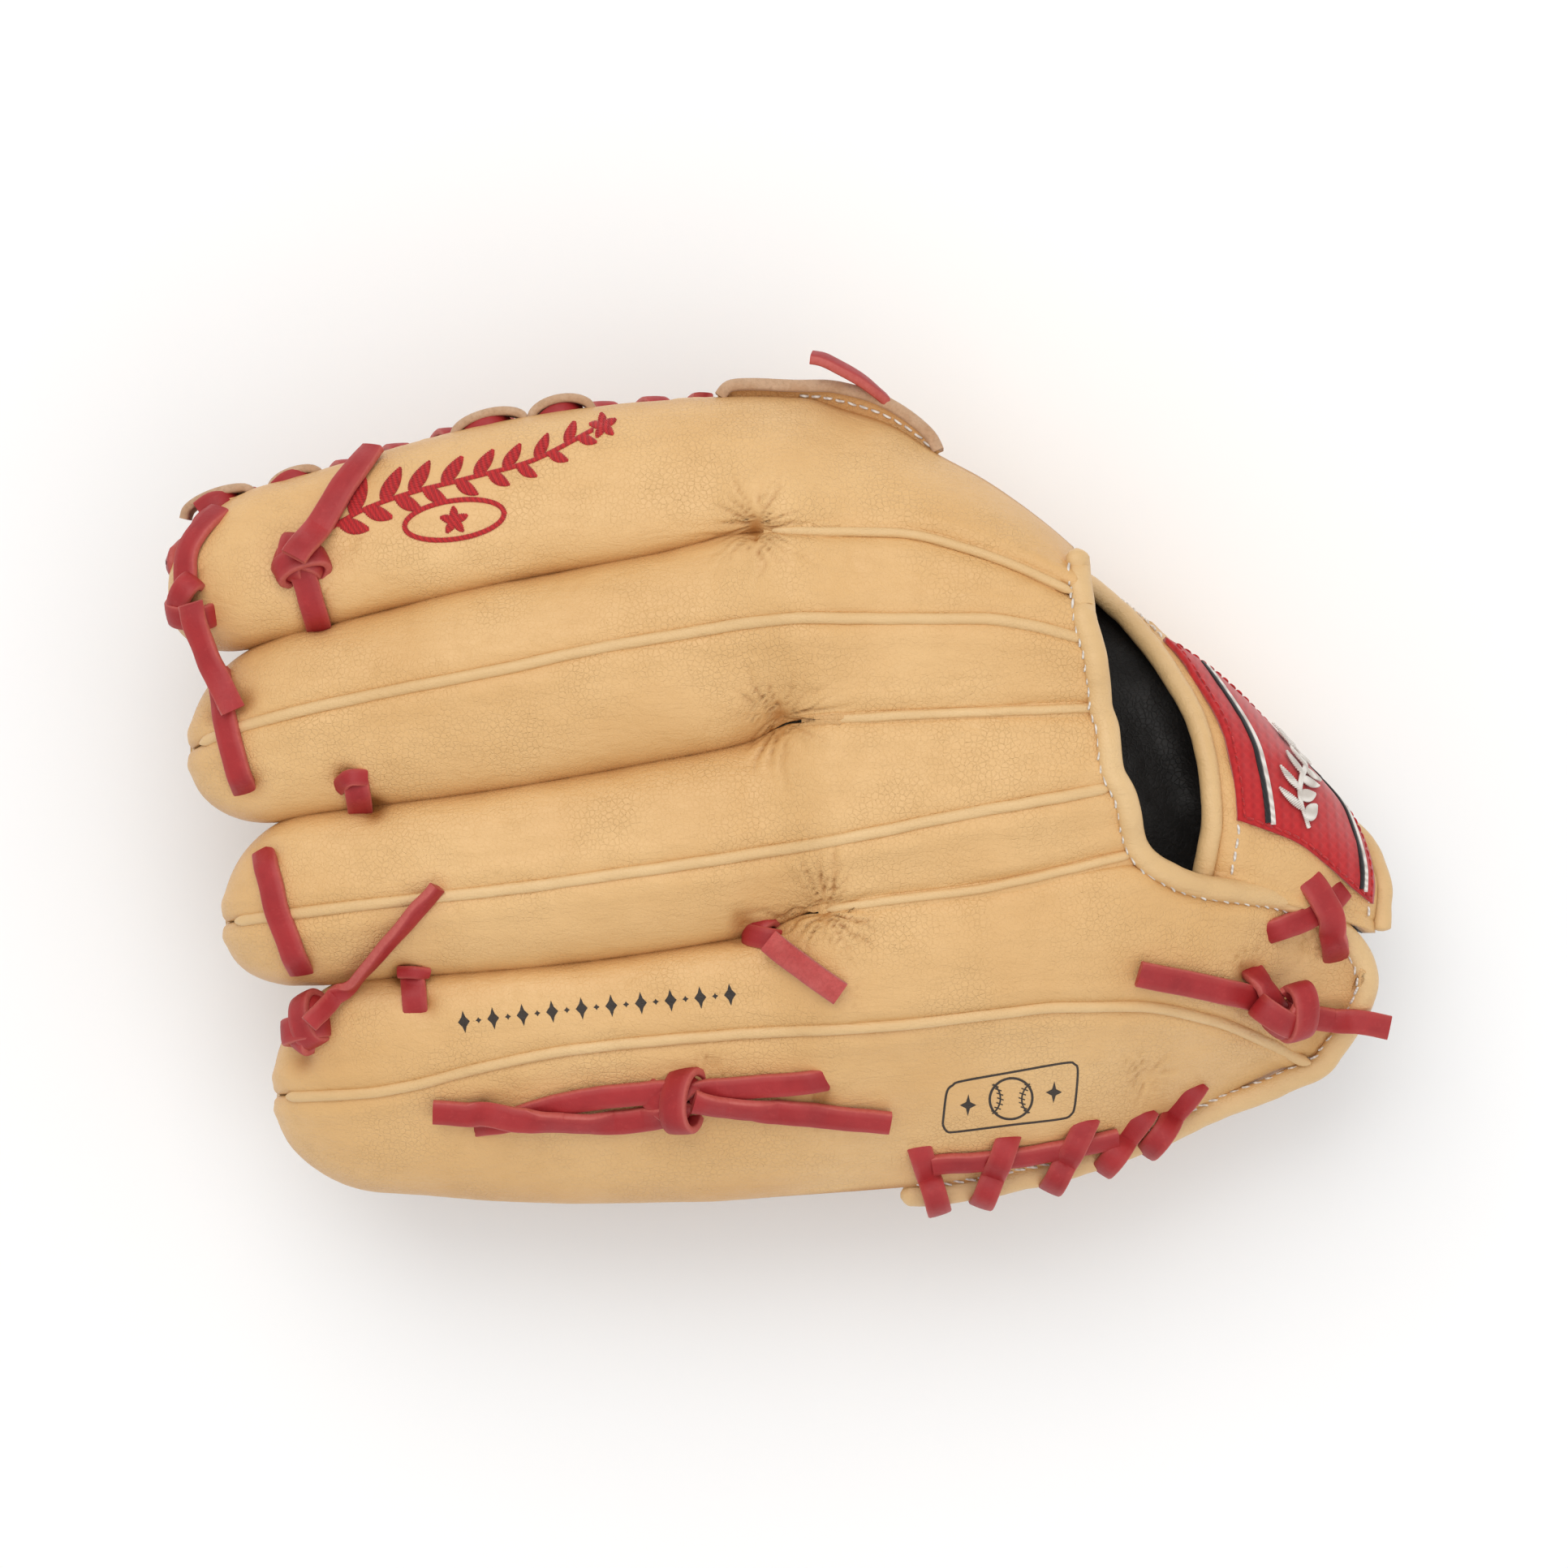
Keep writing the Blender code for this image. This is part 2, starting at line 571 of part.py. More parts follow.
for name, j, end in (("welt_index_middle", 1, 64.5), ("welt_middle_ring", 2, 68.0),
                     ("welt_ring_little", 3, 74.0)):
    run = span(CROTCH[j] + 3, end, 8)
    cord(name, [(x, SEAMS[j](x), seam_height(j, x) + 0.6) for x in run], WELT_RADIUS,
         "welt_leather")
for name, point, centre, start, end in (
        ("welt_middle", middle_back, CENTRE_MIDDLE, TIP[1] + 5, 66.0),
        ("welt_ring", ring_back, CENTRE_RING, TIP[2] + 5, 71.0),
        ("welt_little", little_lobe, CENTRE_LITTLE, TIP[3] + 5, 121.0)):
    run = span(start, end, 14)
    cord(name, [(x, centre(x), point(x, 0.0)[1] + 0.5) for x in run], WELT_RADIUS, "welt_leather")

# ---------------------------------------------------------------- laces
CUTTERS = collection("cutters")


def lace(name, points, knot=None, clear=0.9, height=None):
    """Flat lace over the back skin through (x, y) points, with a knot at one of them."""
    xs = curve(*[(k, p[0]) for k, p in enumerate(points)])
    ys = curve(*[(k, p[1]) for k, p in enumerate(points)])
    n = 3 * (len(points) - 1) + 1
    path = [(xs(k), ys(k)) for k in span(0, len(points) - 1, n)]
    rows, heights = [], []
    sides = []
    for k, (x, y) in enumerate(path):
        a, b = path[max(k - 1, 0)], path[min(k + 1, n - 1)]
        long = math.hypot(b[0] - a[0], b[1] - a[1])
        sides.append((-(b[1] - a[1]) / long, (b[0] - a[0]) / long))
        reach = (-1.1, -0.55, 0.0, 0.55, 1.1)
        over = [(x + sides[-1][0] * r * LACE_WIDTH / 2, y + sides[-1][1] * r * LACE_WIDTH / 2)
                for r in reach]
        z = [height(*p) if height else skin(*p) for p in over]
        heights.append((max(z[:3]), z[2], max(z[2:])))
    for k, (x, y) in enumerate(path):
        near = heights[max(k - 1, 0):k + 2]
        low, centre, high = (max(h[i] for h in near) + clear for i in range(3))
        sx, sy = sides[k][0] * LACE_WIDTH / 2, sides[k][1] * LACE_WIDTH / 2
        rows.append([(x - sx, y - sy, low), (x, y, max(centre, (low + high) / 2)),
                     (x + sx, y + sy, high)])
    made = sheet(name, rows, LACE_THICK, "red_lace", 1.0)
    if knot is not None:
        x, y = points[knot]
        ring = [(x, y)] + [(x + r * math.cos(a), y + r * math.sin(a))
                           for r in (3.2, 6.0) for a in span(0, 2 * math.pi, 13)]
        top = max((height or skin)(*p) for p in ring) + clear - 0.6
        bpy.ops.mesh.primitive_uv_sphere_add(segments=10, ring_count=6, radius=1.0,
                                             location=(x * MM, y * MM, (top + 3.4) * MM))
        ball = bpy.context.object
        ball.name = name + "_knot"
        ball.scale = (6.3 * MM, 6.3 * MM, 3.1 * MM)
        bpy.ops.object.transform_apply(location=False, rotation=False, scale=True)
        for old in list(ball.users_collection):
            old.objects.unlink(ball)
        CUTTERS.objects.link(ball)
        ball.hide_render = True
        ball.display_type = "WIRE"
        union = made.modifiers.new("Knot", "BOOLEAN")
        union.operation = "UNION"
        union.object = ball
    return made


lace("index_tip_lace", [(-140, 58), (-142, 51), (-141.5, 43.6), (-138, 34), (-133, 25),
                        (-129.5, 19.5)], 2)
lace("middle_tip_lace", [(-136.4, 17), (-132.5, 11), (-128.5, 1.5)])
lace("ring_tip_lace", [(-123.6, -19.4), (-120.5, -31), (-116.8, -42.5)])
lace("little_tip_lace", [(-117, -66), (-114, -58.6), (-104, -46), (-92, -33), (-83.4, -23.9)], 1)
lace("index_knot_lace", [(-100.5, 74), (-106, 67), (-112, 59), (-116, 53), (-114.8, 46),
                         (-112.5, 41)], 3)
lace("crotch_lace", [(-9, -34), (-4.9, -36.9), (4, -43), (13.2, -50.4)], 1, clear=1.6)
lace("hinge_lace", [(-84.8, -78.6), (-60, -77.5), (-40, -77), (-24.6, -76.6), (0, -78),
                    (25, -80.5)], 3)
lace("heel_lace", [(37.4, -89.5), (60, -87), (80, -84)])
lace("strap_tie_lace", [(86, -47), (104, -51), (122.8, -54.3), (132, -56.5), (138, -57.5)], 2)


def over_strap(x, y):
    """Height over the strap, the lobe and the binding where they meet."""
    best = min(((strap(u, v)[0] - x) ** 2 + (strap(u, v)[1] - y) ** 2, strap(u, v)[2])
               for u in span(0, 0.4, 9) for v in span(0, 1, 14))
    z = best[1] if best[0] < 16 else 0.0
    z = max(z, little_lobe(min(x, 141), 1.0)[1] if y < LOBE_TOP(min(x, 141)) + 3 else 0.0)
    near = abs(y - LOBE_TOP(min(x, 141)) + 1.5)
    return z + (6.2 if near < 8.5 else 0.0)


lace("strap_cross_lace", [(117.5, -17.5), (123.5, -22), (128.5, -29), (131.5, -39.5)],
     height=over_strap, clear=3.2)
tail = [(0.5, 98.0, 85), (6, 99.6, 87), (14, 101.0, 88), (22, 100.2, 87)]
sheet("web_tail_lace", [[(x, y - 2.7, z + 1), (x, y + 2.7, z - 1)] for x, y, z in tail], LACE_THICK,
      "red_lace")

# ---------------------------------------------------------------- finger loops inside
rows = [[(x, lerp(-86, -66, s), palm(x, lerp(-86, -66, s), 10.0) + 3.0 + 11 * math.sin(math.pi * s))
         for s in span(0, 1, 8)] for x in (-3, 5, 12)]
sheet("little_loop", rows, 1.6, "black_lining", 1.0)
rows = [[(x, lerp(-4, 20, s), 27.0 - 15 * math.sin(math.pi * s)) for s in span(0, 1, 8)]
        for x in (-4, 4, 12)]
sheet("thumb_loop", rows, 1.6, "black_lining")

for piece in GLOVE.objects:
    piece.location = (CENTRE_X * MM, CENTRE_Y * MM, 0.0)
for piece in CUTTERS.objects:
    piece.location[0] += CENTRE_X * MM
    piece.location[1] += CENTRE_Y * MM
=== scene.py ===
"""Looks of the fielder's glove: fine leather, laces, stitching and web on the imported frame."""
import math

import bmesh
import bpy
import numpy as np
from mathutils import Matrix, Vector
from mathutils.bvhtree import BVHTree


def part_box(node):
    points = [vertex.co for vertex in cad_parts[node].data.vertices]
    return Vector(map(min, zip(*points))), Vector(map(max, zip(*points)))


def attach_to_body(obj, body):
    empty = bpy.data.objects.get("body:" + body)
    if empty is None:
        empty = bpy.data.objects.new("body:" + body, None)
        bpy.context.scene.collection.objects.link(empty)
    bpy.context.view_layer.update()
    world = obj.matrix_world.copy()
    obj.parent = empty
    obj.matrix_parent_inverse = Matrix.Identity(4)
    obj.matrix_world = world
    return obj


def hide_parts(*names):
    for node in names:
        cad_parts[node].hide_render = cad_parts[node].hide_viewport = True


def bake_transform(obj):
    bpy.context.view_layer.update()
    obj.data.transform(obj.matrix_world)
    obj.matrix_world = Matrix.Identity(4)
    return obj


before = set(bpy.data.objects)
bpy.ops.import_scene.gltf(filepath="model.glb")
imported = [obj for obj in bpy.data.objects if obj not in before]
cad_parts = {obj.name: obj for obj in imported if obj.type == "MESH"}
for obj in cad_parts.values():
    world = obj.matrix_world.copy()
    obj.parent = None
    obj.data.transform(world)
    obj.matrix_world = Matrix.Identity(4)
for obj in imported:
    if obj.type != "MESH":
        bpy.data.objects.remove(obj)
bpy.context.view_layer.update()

MM = 0.001
WELD = 0.00002         # points of a panel closer than this are one, m
SHIFT = np.array((-0.175, 0.585, 0.0))   # where the CAD places its own zero, mm
FINGERS = "finger_side"
THUMB = "thumb_side"
CROWN = 16.0
BELLY = 13.0
HAND_RISE = 15.0
PALM_START = -21.4
THUMB_LEVEL = 17.0
ROUND = 2.3


# ------------------------------------------------------------------ curves and noise
def curve(*points):
    """Smooth monotone curve through (x, y) points, as a function of numbers or arrays."""
    px = np.array([p[0] for p in points], float)
    py = np.array([p[1] for p in points], float)
    h = np.diff(px)
    d = np.diff(py) / h
    m = np.zeros(len(px))
    m[0], m[-1] = d[0], d[-1]
    for i in range(1, len(px) - 1):
        if d[i - 1] * d[i] > 0:
            a = 2 * h[i] + h[i - 1]
            b = h[i] + 2 * h[i - 1]
            m[i] = (a + b) / (a / d[i - 1] + b / d[i])

    def value(x):
        x = np.clip(np.asarray(x, float), px[0], px[-1])
        i = np.clip(np.searchsorted(px, x, side="right") - 1, 0, len(h) - 1)
        t = (x - px[i]) / h[i]
        return ((1 + 2 * t) * (1 - t) ** 2 * py[i] + t * (1 - t) ** 2 * h[i] * m[i]
                + t * t * (3 - 2 * t) * py[i + 1] + t * t * (t - 1) * h[i] * m[i + 1])
    return value


def step(a, b, x):
    t = np.clip((np.asarray(x, float) - a) / (b - a), 0.0, 1.0)
    return t * t * (3 - 2 * t)


def lerp(a, b, t):
    return a + (b - a) * t


def ripple(x, y, seed, size, octaves=3, waves=9):
    """Smooth noise of about unit height whose bumps are size mm long."""
    rng = np.random.RandomState(seed)
    total = np.zeros(np.broadcast(x, y).shape)
    gain = 1.0
    for _ in range(octaves):
        angle = rng.uniform(0, 2 * math.pi, waves)
        phase = rng.uniform(0, 2 * math.pi, waves)
        pitch = rng.uniform(0.7, 1.4, waves) * 2 * math.pi / size
        layer = np.zeros_like(total)
        for a, p, f in zip(angle, phase, pitch):
            layer += np.sin((x * math.cos(a) + y * math.sin(a)) * f + p)
        total += gain * layer / math.sqrt(waves)
        gain *= 0.5
        size *= 0.5
    return total


# ------------------------------------------------------------------ the glove's shape, as in the CAD
G0 = curve((-150, 64.5), (-129, 70.6), (-110, 75.6), (-79, 84.6), (-52, 89.6), (-15, 92.7),
           (4, 93.2), (14, 90.3), (26, 86.2), (37, 79.2), (50, 71.8), (62, 63.0), (72, 54.6))
G1 = curve((-150, 27), (-134, 31.5), (-110, 37.8), (-71, 47.1), (-32, 54.5), (-7, 59.6),
           (26, 59.2), (45, 54.9), (72, 43.5))
G2 = curve((-145, -12.5), (-116, -7.8), (-71, -1.9), (-32, 4.9), (-9, 9.7), (2, 14.5), (26, 15.9),
           (76, 18))
G3 = curve((-137, -52), (-118, -48.5), (-91, -46.6), (-52, -43.3), (-21, -38.8), (-6, -36),
           (6, -31), (22, -28.1), (45, -25.2), (84, -16.5))
G4 = curve((-126, -99.5), (-110, -100.5), (-90, -102), (-52, -103.8), (-21, -103.2), (6, -101.5),
           (26, -100), (45, -98.5), (80, -91), (103, -81), (122, -74), (131, -69.5))
SEAMS = (G0, G1, G2, G3, G4)
CROTCH = (None, -7.0, 2.0, 6.0, None)
TIP = (-149.5, -144.5, -136.5, -125.5)
CAP = (25.0, 25.0, 24.0, 27.0)
CENTRE_MIDDLE = curve((-145, 7.8), (-129, 13.6), (-110, 18.4), (-71, 26.2), (-32, 34), (6, 38.8),
                      (45, 38.8), (76, 33))
CENTRE_RING = curve((-137, -34), (-110, -30.1), (-71, -25.8), (-32, -20.4), (6, -14.5), (45, -6.8),
                    (86, 0.5))
CENTRE_LITTLE = curve((-126, -76.6), (-100, -74.7), (-71, -67.9), (-52, -64), (-13, -60.1),
                      (26, -57.6), (45, -55.5), (68, -53.4), (84, -53.4), (103, -57.2),
                      (119, -63.8), (131, -69.2), (134.5, -65.8), (138, -60), (140.6, -53.5),
                      (141.8, -47.5))
MIDDLES = (None, CENTRE_MIDDLE, CENTRE_RING, CENTRE_LITTLE)
LOBE_TOP = curve((-137, -52), (-118, -48.5), (-91, -46.6), (-52, -43.3), (-21, -38.8), (-6, -36),
                 (6, -31), (22, -28.1), (45, -25.2), (74, -19.6), (82, -19.0), (90, -22.4),
                 (96, -24.8), (103, -26.6), (123, -29.3), (134, -34), (141, -43.5))
THUMB_OUT = curve((-112, 27), (-60, 32), (-12, 38), (20, 48), (50, 46), (70, 38), (95, 21),
                  (125, -3))
THUMB_IN = curve((-112, -21), (-60, -22), (-12, -26), (20, -32), (50, -38), (80, -45),
                 (110, -52), (125, -54))
THUMB_TIP = -112.0
FOLD = curve((-22, 48), (2, 48), (30, 43), (50, 29), (70, 13), (95, -10), (118, -30))
ACROSS = curve((-110, 56), (-104, 58), (-45, 82), (0, 90.5), (47, 91), (75, 84), (95, 75))
LIFT = curve((-150, -16), (-120, -9), (-80, -3), (-40, 0), (0, 2), (40, 0), (75, -5), (85, -8.5),
             (103, -17), (125, -29), (142, -38))
DROP = curve((-22, 14.5), (20, 20), (70, 20), (110, 15), (130, 13))
THUMB_PALM = curve((-22, 13), (20, 14.5), (70, 12), (110, 8), (125, 7))


def mid(x, y):
    return ACROSS(y) + LIFT(x)


def cap(x, tip, length):
    u = np.clip((x - tip) / length, 0.0, 1.0)
    return (1 - (1 - u) ** 2.2) ** (1 / 2.2)


def arch(t):
    return (1 - np.minimum(np.abs(t), 1.0) ** ROUND) ** (1 / ROUND)


def rise(j, x):
    if CROTCH[j] is None:
        return 0.0
    return HAND_RISE * step(CROTCH[j] - 12, CROTCH[j] + 10, x)


def crowned(t, c, low, up, z_low, z_up, crown, hand):
    z_c = lerp(z_low, z_up, (c - low) / np.maximum(up - low, 0.01))
    y = c + t * np.where(t > 0, up - c, c - low)
    line = lerp(z_c, np.where(t > 0, z_up, z_low), np.abs(t))
    return y, line + crown * lerp(arch(t), 1 - t * t * (0.72 + 0.28 * np.abs(t)), hand)


def back(i, x, t):
    up, low = SEAMS[i](x), SEAMS[i + 1](x)
    c = MIDDLES[i](x) if MIDDLES[i] else (up + low) / 2
    k = cap(x, TIP[i], CAP[i])
    press = 0.9 - 0.75 * step(-20, 14, x)
    up, low = c + (up - 0.1 + press - c) * k, c + (low + 0.1 - press - c) * k
    hand = step(-16, 18, x)
    crown = lerp(CROWN, 4.5 if i else 7.0, hand) * k
    return crowned(t, c, low, up, mid(x, low) + rise(i + 1, x), mid(x, up) + rise(i, x), crown,
                   hand)


def little_lobe(x, t):
    c = CENTRE_LITTLE(x)
    k = cap(x, TIP[3], CAP[3])
    press = 0.9 - 0.75 * step(-20, 14, x)
    up = c + (LOBE_TOP(x) - 0.1 + press - c) * k
    low = c + (G4(x) + 0.5 - c) * k
    hand = step(-4, 22, x)
    heel = step(95, 141, x)
    z_up = mid(x, up) + HAND_RISE * step(CROTCH[3] - 12, CROTCH[3] + 10, x) + 2 * step(60, 90, x)
    crown = lerp(CROWN, lerp(12.5, 8.0, heel), hand) * k
    return crowned(t, c, low, up, mid(x, low), z_up, crown, hand)


def front(i, x, t, inset=0.0):
    up, low = SEAMS[i](x), SEAMS[i + 1](x)
    c = MIDDLES[i](x) if MIDDLES[i] else (up + low) / 2
    k = cap(x, TIP[i], CAP[i])
    y = c + k * t * np.where(t > 0, up - 0.5 - c, c - low - 0.5)
    return y, mid(x, y) - 0.6 - (BELLY - inset + 1.5) * k * arch(t)


def palm(x, y, lift=0.0):
    s = np.clip((y - G4(x) - 0.5) / 24.0, 0.0, 1.0)
    return mid(x, y) - 1.0 - (DROP(x) + 2.0 - lift) * (1 - (1 - s) ** 2.6)


def thumb_back(x, t):
    up, low = THUMB_OUT(x), THUMB_IN(x)
    c, w = (up + low) / 2, (up - low) / 2
    k = cap(x, THUMB_TIP, 25.0)
    return c + w * k * t, np.maximum(THUMB_LEVEL - 20.0 * k * arch(t), 0.0)


def thumb_front(x, t):
    up, low = THUMB_OUT(x), THUMB_IN(x)
    c, w = (up + low) / 2, (up - low) / 2
    k = cap(x, THUMB_TIP, 25.0)
    return c + w * k * t, THUMB_LEVEL + 0.3 + (BELLY + 1.2) * k * arch(t)


def thumb_palm(x, y):
    s = np.clip((y - THUMB_IN(x)) / 24.0, 0.0, 1.0)
    return THUMB_LEVEL + 0.6 + (THUMB_PALM(x) + 2.4) * (1 - (1 - s) ** 2.6)


def thumb_fold(x):
    return np.minimum(FOLD(x), THUMB_OUT(x) - 6)


INNER_X = curve((0, 103), (0.2, 105.5), (0.4, 103.5), (0.6, 95.5), (0.8, 84), (1, 73))
INNER_Y = curve((0, -25.5), (0.2, -8), (0.4, 10), (0.6, 28), (0.8, 43.5), (1, 54))
INNER_Z = curve((0, 84), (0.2, 87), (0.4, 83), (0.6, 72), (0.8, 54), (1, 27))
OUTER_X = curve((0, 144.8), (0.2, 145.4), (0.4, 142.5), (0.6, 134), (0.8, 124.5), (1, 116))
OUTER_Y = curve((0, -36.5), (0.2, -25.5), (0.4, -13), (0.6, -4), (0.8, 2.5), (1, 6))
OUTER_Z = curve((0, 62), (0.2, 62), (0.4, 54), (0.6, 43), (0.8, 32), (1, 22))


def strap(u, v, out=0.0):
    """Point on the strap's outer skin: u runs along it from the heel, v across it from the hand."""
    u, v = np.asarray(u, float), np.asarray(v, float)
    bow = 4.0 * 4 * v * (1 - v) + out
    turn = lerp(0.15, 1.25, step(0.05, 0.95, u))
    return np.stack(np.broadcast_arrays(
        lerp(INNER_X(u), OUTER_X(u), v) + 0.45 * bow,
        lerp(INNER_Y(u), OUTER_Y(u), v) + 0.893 * bow * np.sin(turn),
        lerp(INNER_Z(u), OUTER_Z(u), v) + 0.893 * bow * np.cos(turn)), axis=-1)


# ------------------------------------------------------------------ materials
def srgb(r, g, b):
    def one(c):
        c /= 255.0
        return c / 12.92 if c <= 0.04045 else ((c + 0.055) / 1.055) ** 2.4
    return (one(r), one(g), one(b), 1.0)


class Nodes:
    """Short way to wire a material."""

    def __init__(self, name):
        self.m = bpy.data.materials.new(name)
        self.m.use_nodes = True
        self.t = self.m.node_tree
        self.shader = self.t.nodes["Principled BSDF"]
        self.coord = self.t.nodes.new("ShaderNodeTexCoord").outputs["Object"]

    def link(self, a, b):
        self.t.links.new(a, b)

    def make(self, kind, **props):
        n = self.t.nodes.new(kind)
        for k, v in props.items():
            setattr(n, k, v)
        return n

    def mapped(self, scale):
        n = self.make("ShaderNodeMapping")
        n.inputs["Scale"].default_value = scale
        self.link(self.coord, n.inputs["Vector"])
        return n.outputs["Vector"]

    def noise(self, scale, detail=3.0, rough=0.5, distort=0.0, vector=None):
        n = self.make("ShaderNodeTexNoise")
        n.inputs["Scale"].default_value = scale
        n.inputs["Detail"].default_value = detail
        n.inputs["Roughness"].default_value = rough
        n.inputs["Distortion"].default_value = distort
        self.link(vector or self.coord, n.inputs["Vector"])
        return n.outputs["Fac"]

    def voronoi(self, scale, feature="F1", vector=None, random_=1.0):
        n = self.make("ShaderNodeTexVoronoi", feature=feature)
        n.inputs["Scale"].default_value = scale
        n.inputs["Randomness"].default_value = random_
        self.link(vector or self.coord, n.inputs["Vector"])
        return n.outputs["Distance"]

    def ramp(self, fac, a, b, ca=(0, 0, 0, 1), cb=(1, 1, 1, 1)):
        n = self.make("ShaderNodeValToRGB")
        n.color_ramp.elements[0].position = a
        n.color_ramp.elements[1].position = b
        n.color_ramp.elements[0].color = ca
        n.color_ramp.elements[1].color = cb
        self.link(fac, n.inputs["Fac"])
        return n.outputs["Color"]

    def mix(self, fac, a, b, blend="MIX"):
        n = self.make("ShaderNodeMix", data_type="RGBA", blend_type=blend)
        for sock, v in ((n.inputs[0], fac), (n.inputs[6], a), (n.inputs[7], b)):
            if isinstance(v, (int, float, tuple)):
                sock.default_value = v
            else:
                self.link(v, sock)
        return n.outputs[2]

    def math(self, op, a, b=0.0, clamp=False):
        n = self.make("ShaderNodeMath", operation=op, use_clamp=clamp)
        for sock, v in zip(n.inputs, (a, b)):
            if isinstance(v, (int, float)):
                sock.default_value = v
            else:
                self.link(v, sock)
        return n.outputs[0]

    def attribute(self, name):
        n = self.make("ShaderNodeAttribute", attribute_name=name)
        return n.outputs["Fac"]

    def bump(self, height, distance, strength=1.0, normal=None):
        n = self.make("ShaderNodeBump")
        n.inputs["Distance"].default_value = distance
        n.inputs["Strength"].default_value = strength
        self.link(height, n.inputs["Height"])
        if normal:
            self.link(normal, n.inputs["Normal"])
        return n.outputs["Normal"]

    def finish(self, color, rough, normal, specular=0.5, coat=0.0, sheen=0.0):
        self.link(color, self.shader.inputs["Base Color"])
        if isinstance(rough, float):
            self.shader.inputs["Roughness"].default_value = rough
        else:
            self.link(rough, self.shader.inputs["Roughness"])
        self.link(normal, self.shader.inputs["Normal"])
        self.shader.inputs["Specular IOR Level"].default_value = specular
        self.shader.inputs["Coat Weight"].default_value = coat
        self.shader.inputs["Coat Roughness"].default_value = 0.35
        self.shader.inputs["Sheen Weight"].default_value = sheen
        return self.m


def rough_between(n, fac, low, high):
    made = n.make("ShaderNodeMapRange")
    made.inputs["To Min"].default_value = low
    made.inputs["To Max"].default_value = high
    n.link(fac, made.inputs["Value"])
    return made.outputs["Result"]


def leather(name, base, dark, light, grain=0.00010, rough=(0.36, 0.5), pores=0.55):
    """Full-grain leather: soft mottling, pebbled grain and pores, with painted shade in the creases, seams
    and lace holes.
    """
    n = Nodes(name)
    cloudy = n.noise(26, 4, 0.55)
    fine = n.noise(190, 5, 0.6)
    color = n.mix(n.ramp(cloudy, 0.32, 0.68), dark_of(base, 0.965), light)
    color = n.mix(n.math("MULTIPLY", n.ramp(fine, 0.45, 0.75), 0.22), color, dark_of(base, 0.9))
    warp = n.mapped((1.0, 1.0, 1.0))
    cells = n.voronoi(780, "DISTANCE_TO_EDGE", warp)
    edge = n.ramp(cells, 0.0, 0.12)
    small = n.voronoi(1500, "F1", warp)
    pore = n.ramp(small, 0.05, 0.22)
    patch = n.ramp(n.noise(48, 2, 0.5), 0.38, 0.62)
    color = n.mix(n.math("MULTIPLY", n.math("SUBTRACT", 1.0, pore), 0.35 * pores), color, dark)
    # painted shade: the colour is darkened towards dark wherever the point's shade attribute is set
    color = n.mix(n.attribute("burn"), color, dark)
    strain = n.noise(210, 5, 0.66, 1.1, n.mapped((0.55, 1.5, 1.0)))
    height = n.mix(0.5, edge, n.mix(0.35, pore, fine))
    grained = n.mix(patch, n.mix(0.62, height, (0.5, 0.5, 0.5, 1.0)), height)
    normal = n.bump(grained, grain * 1.9, 1.0)
    normal = n.bump(strain, 0.0011, 0.42, normal)
    return n.finish(color, rough_between(n, fine, rough[0], rough[1]), normal, 0.45, 0.06)


def dark_of(c, k):
    return (c[0] * k, c[1] * k * 0.99, c[2] * k * 0.97, 1.0)


TAN = srgb(221, 175, 115)
TAN_LIGHT = srgb(227, 184, 126)
TAN_DARK = srgb(176, 116, 56)
M_LEATHER = leather("glove_leather", TAN, TAN_DARK, TAN_LIGHT)
M_TAB = leather("tab_leather", srgb(205, 152, 92), srgb(166, 108, 55), srgb(216, 168, 110))
M_PALM = leather("palm_leather", srgb(219, 175, 118), srgb(188, 130, 66), srgb(227, 186, 131), 0.00012,
                 (0.42, 0.56))
M_WELT = leather("welt_leather_fine", srgb(221, 182, 128), srgb(184, 128, 70), srgb(226, 190, 138),
                 0.00005, (0.38, 0.5), 0.2)


def lace_leather():
    """Dyed rawhide lace: worn paler along its cut edges, with fine cracks across it."""
    n = Nodes("lace_leather")
    cloudy = n.noise(90, 4, 0.6)
    fine = n.noise(900, 4, 0.65)
    color = n.mix(n.ramp(cloudy, 0.3, 0.7), srgb(150, 32, 36), srgb(172, 43, 45))
    scuff = n.ramp(n.noise(420, 5, 0.7, 0.6), 0.56, 0.72)
    color = n.mix(n.math("MULTIPLY", scuff, 0.35), color, srgb(190, 66, 64))
    color = n.mix(n.attribute("edge"), color, n.mix(fine, srgb(176, 66, 62), srgb(206, 112, 102)))
    pits = n.ramp(n.voronoi(1300, "F1"), 0.04, 0.2)
    height = n.mix(0.5, fine, pits)
    normal = n.bump(height, 0.00009, 0.9)
    normal = n.bump(n.noise(260, 3, 0.6), 0.0004, 0.3, normal)
    return n.finish(color, rough_between(n, fine, 0.42, 0.62), normal, 0.4)


def suede(name, a, b):
    n = Nodes(name)
    fine = n.noise(1100, 5, 0.7)
    cloudy = n.noise(160, 4, 0.6)
    color = n.mix(n.ramp(cloudy, 0.3, 0.7), a, b)
    color = n.mix(n.math("MULTIPLY", n.ramp(fine, 0.45, 0.7), 0.4), color, dark_of(a, 0.62))
    normal = n.bump(fine, 0.00035, 0.9)
    return n.finish(color, 0.92, normal, 0.2, 0.0, 0.25)


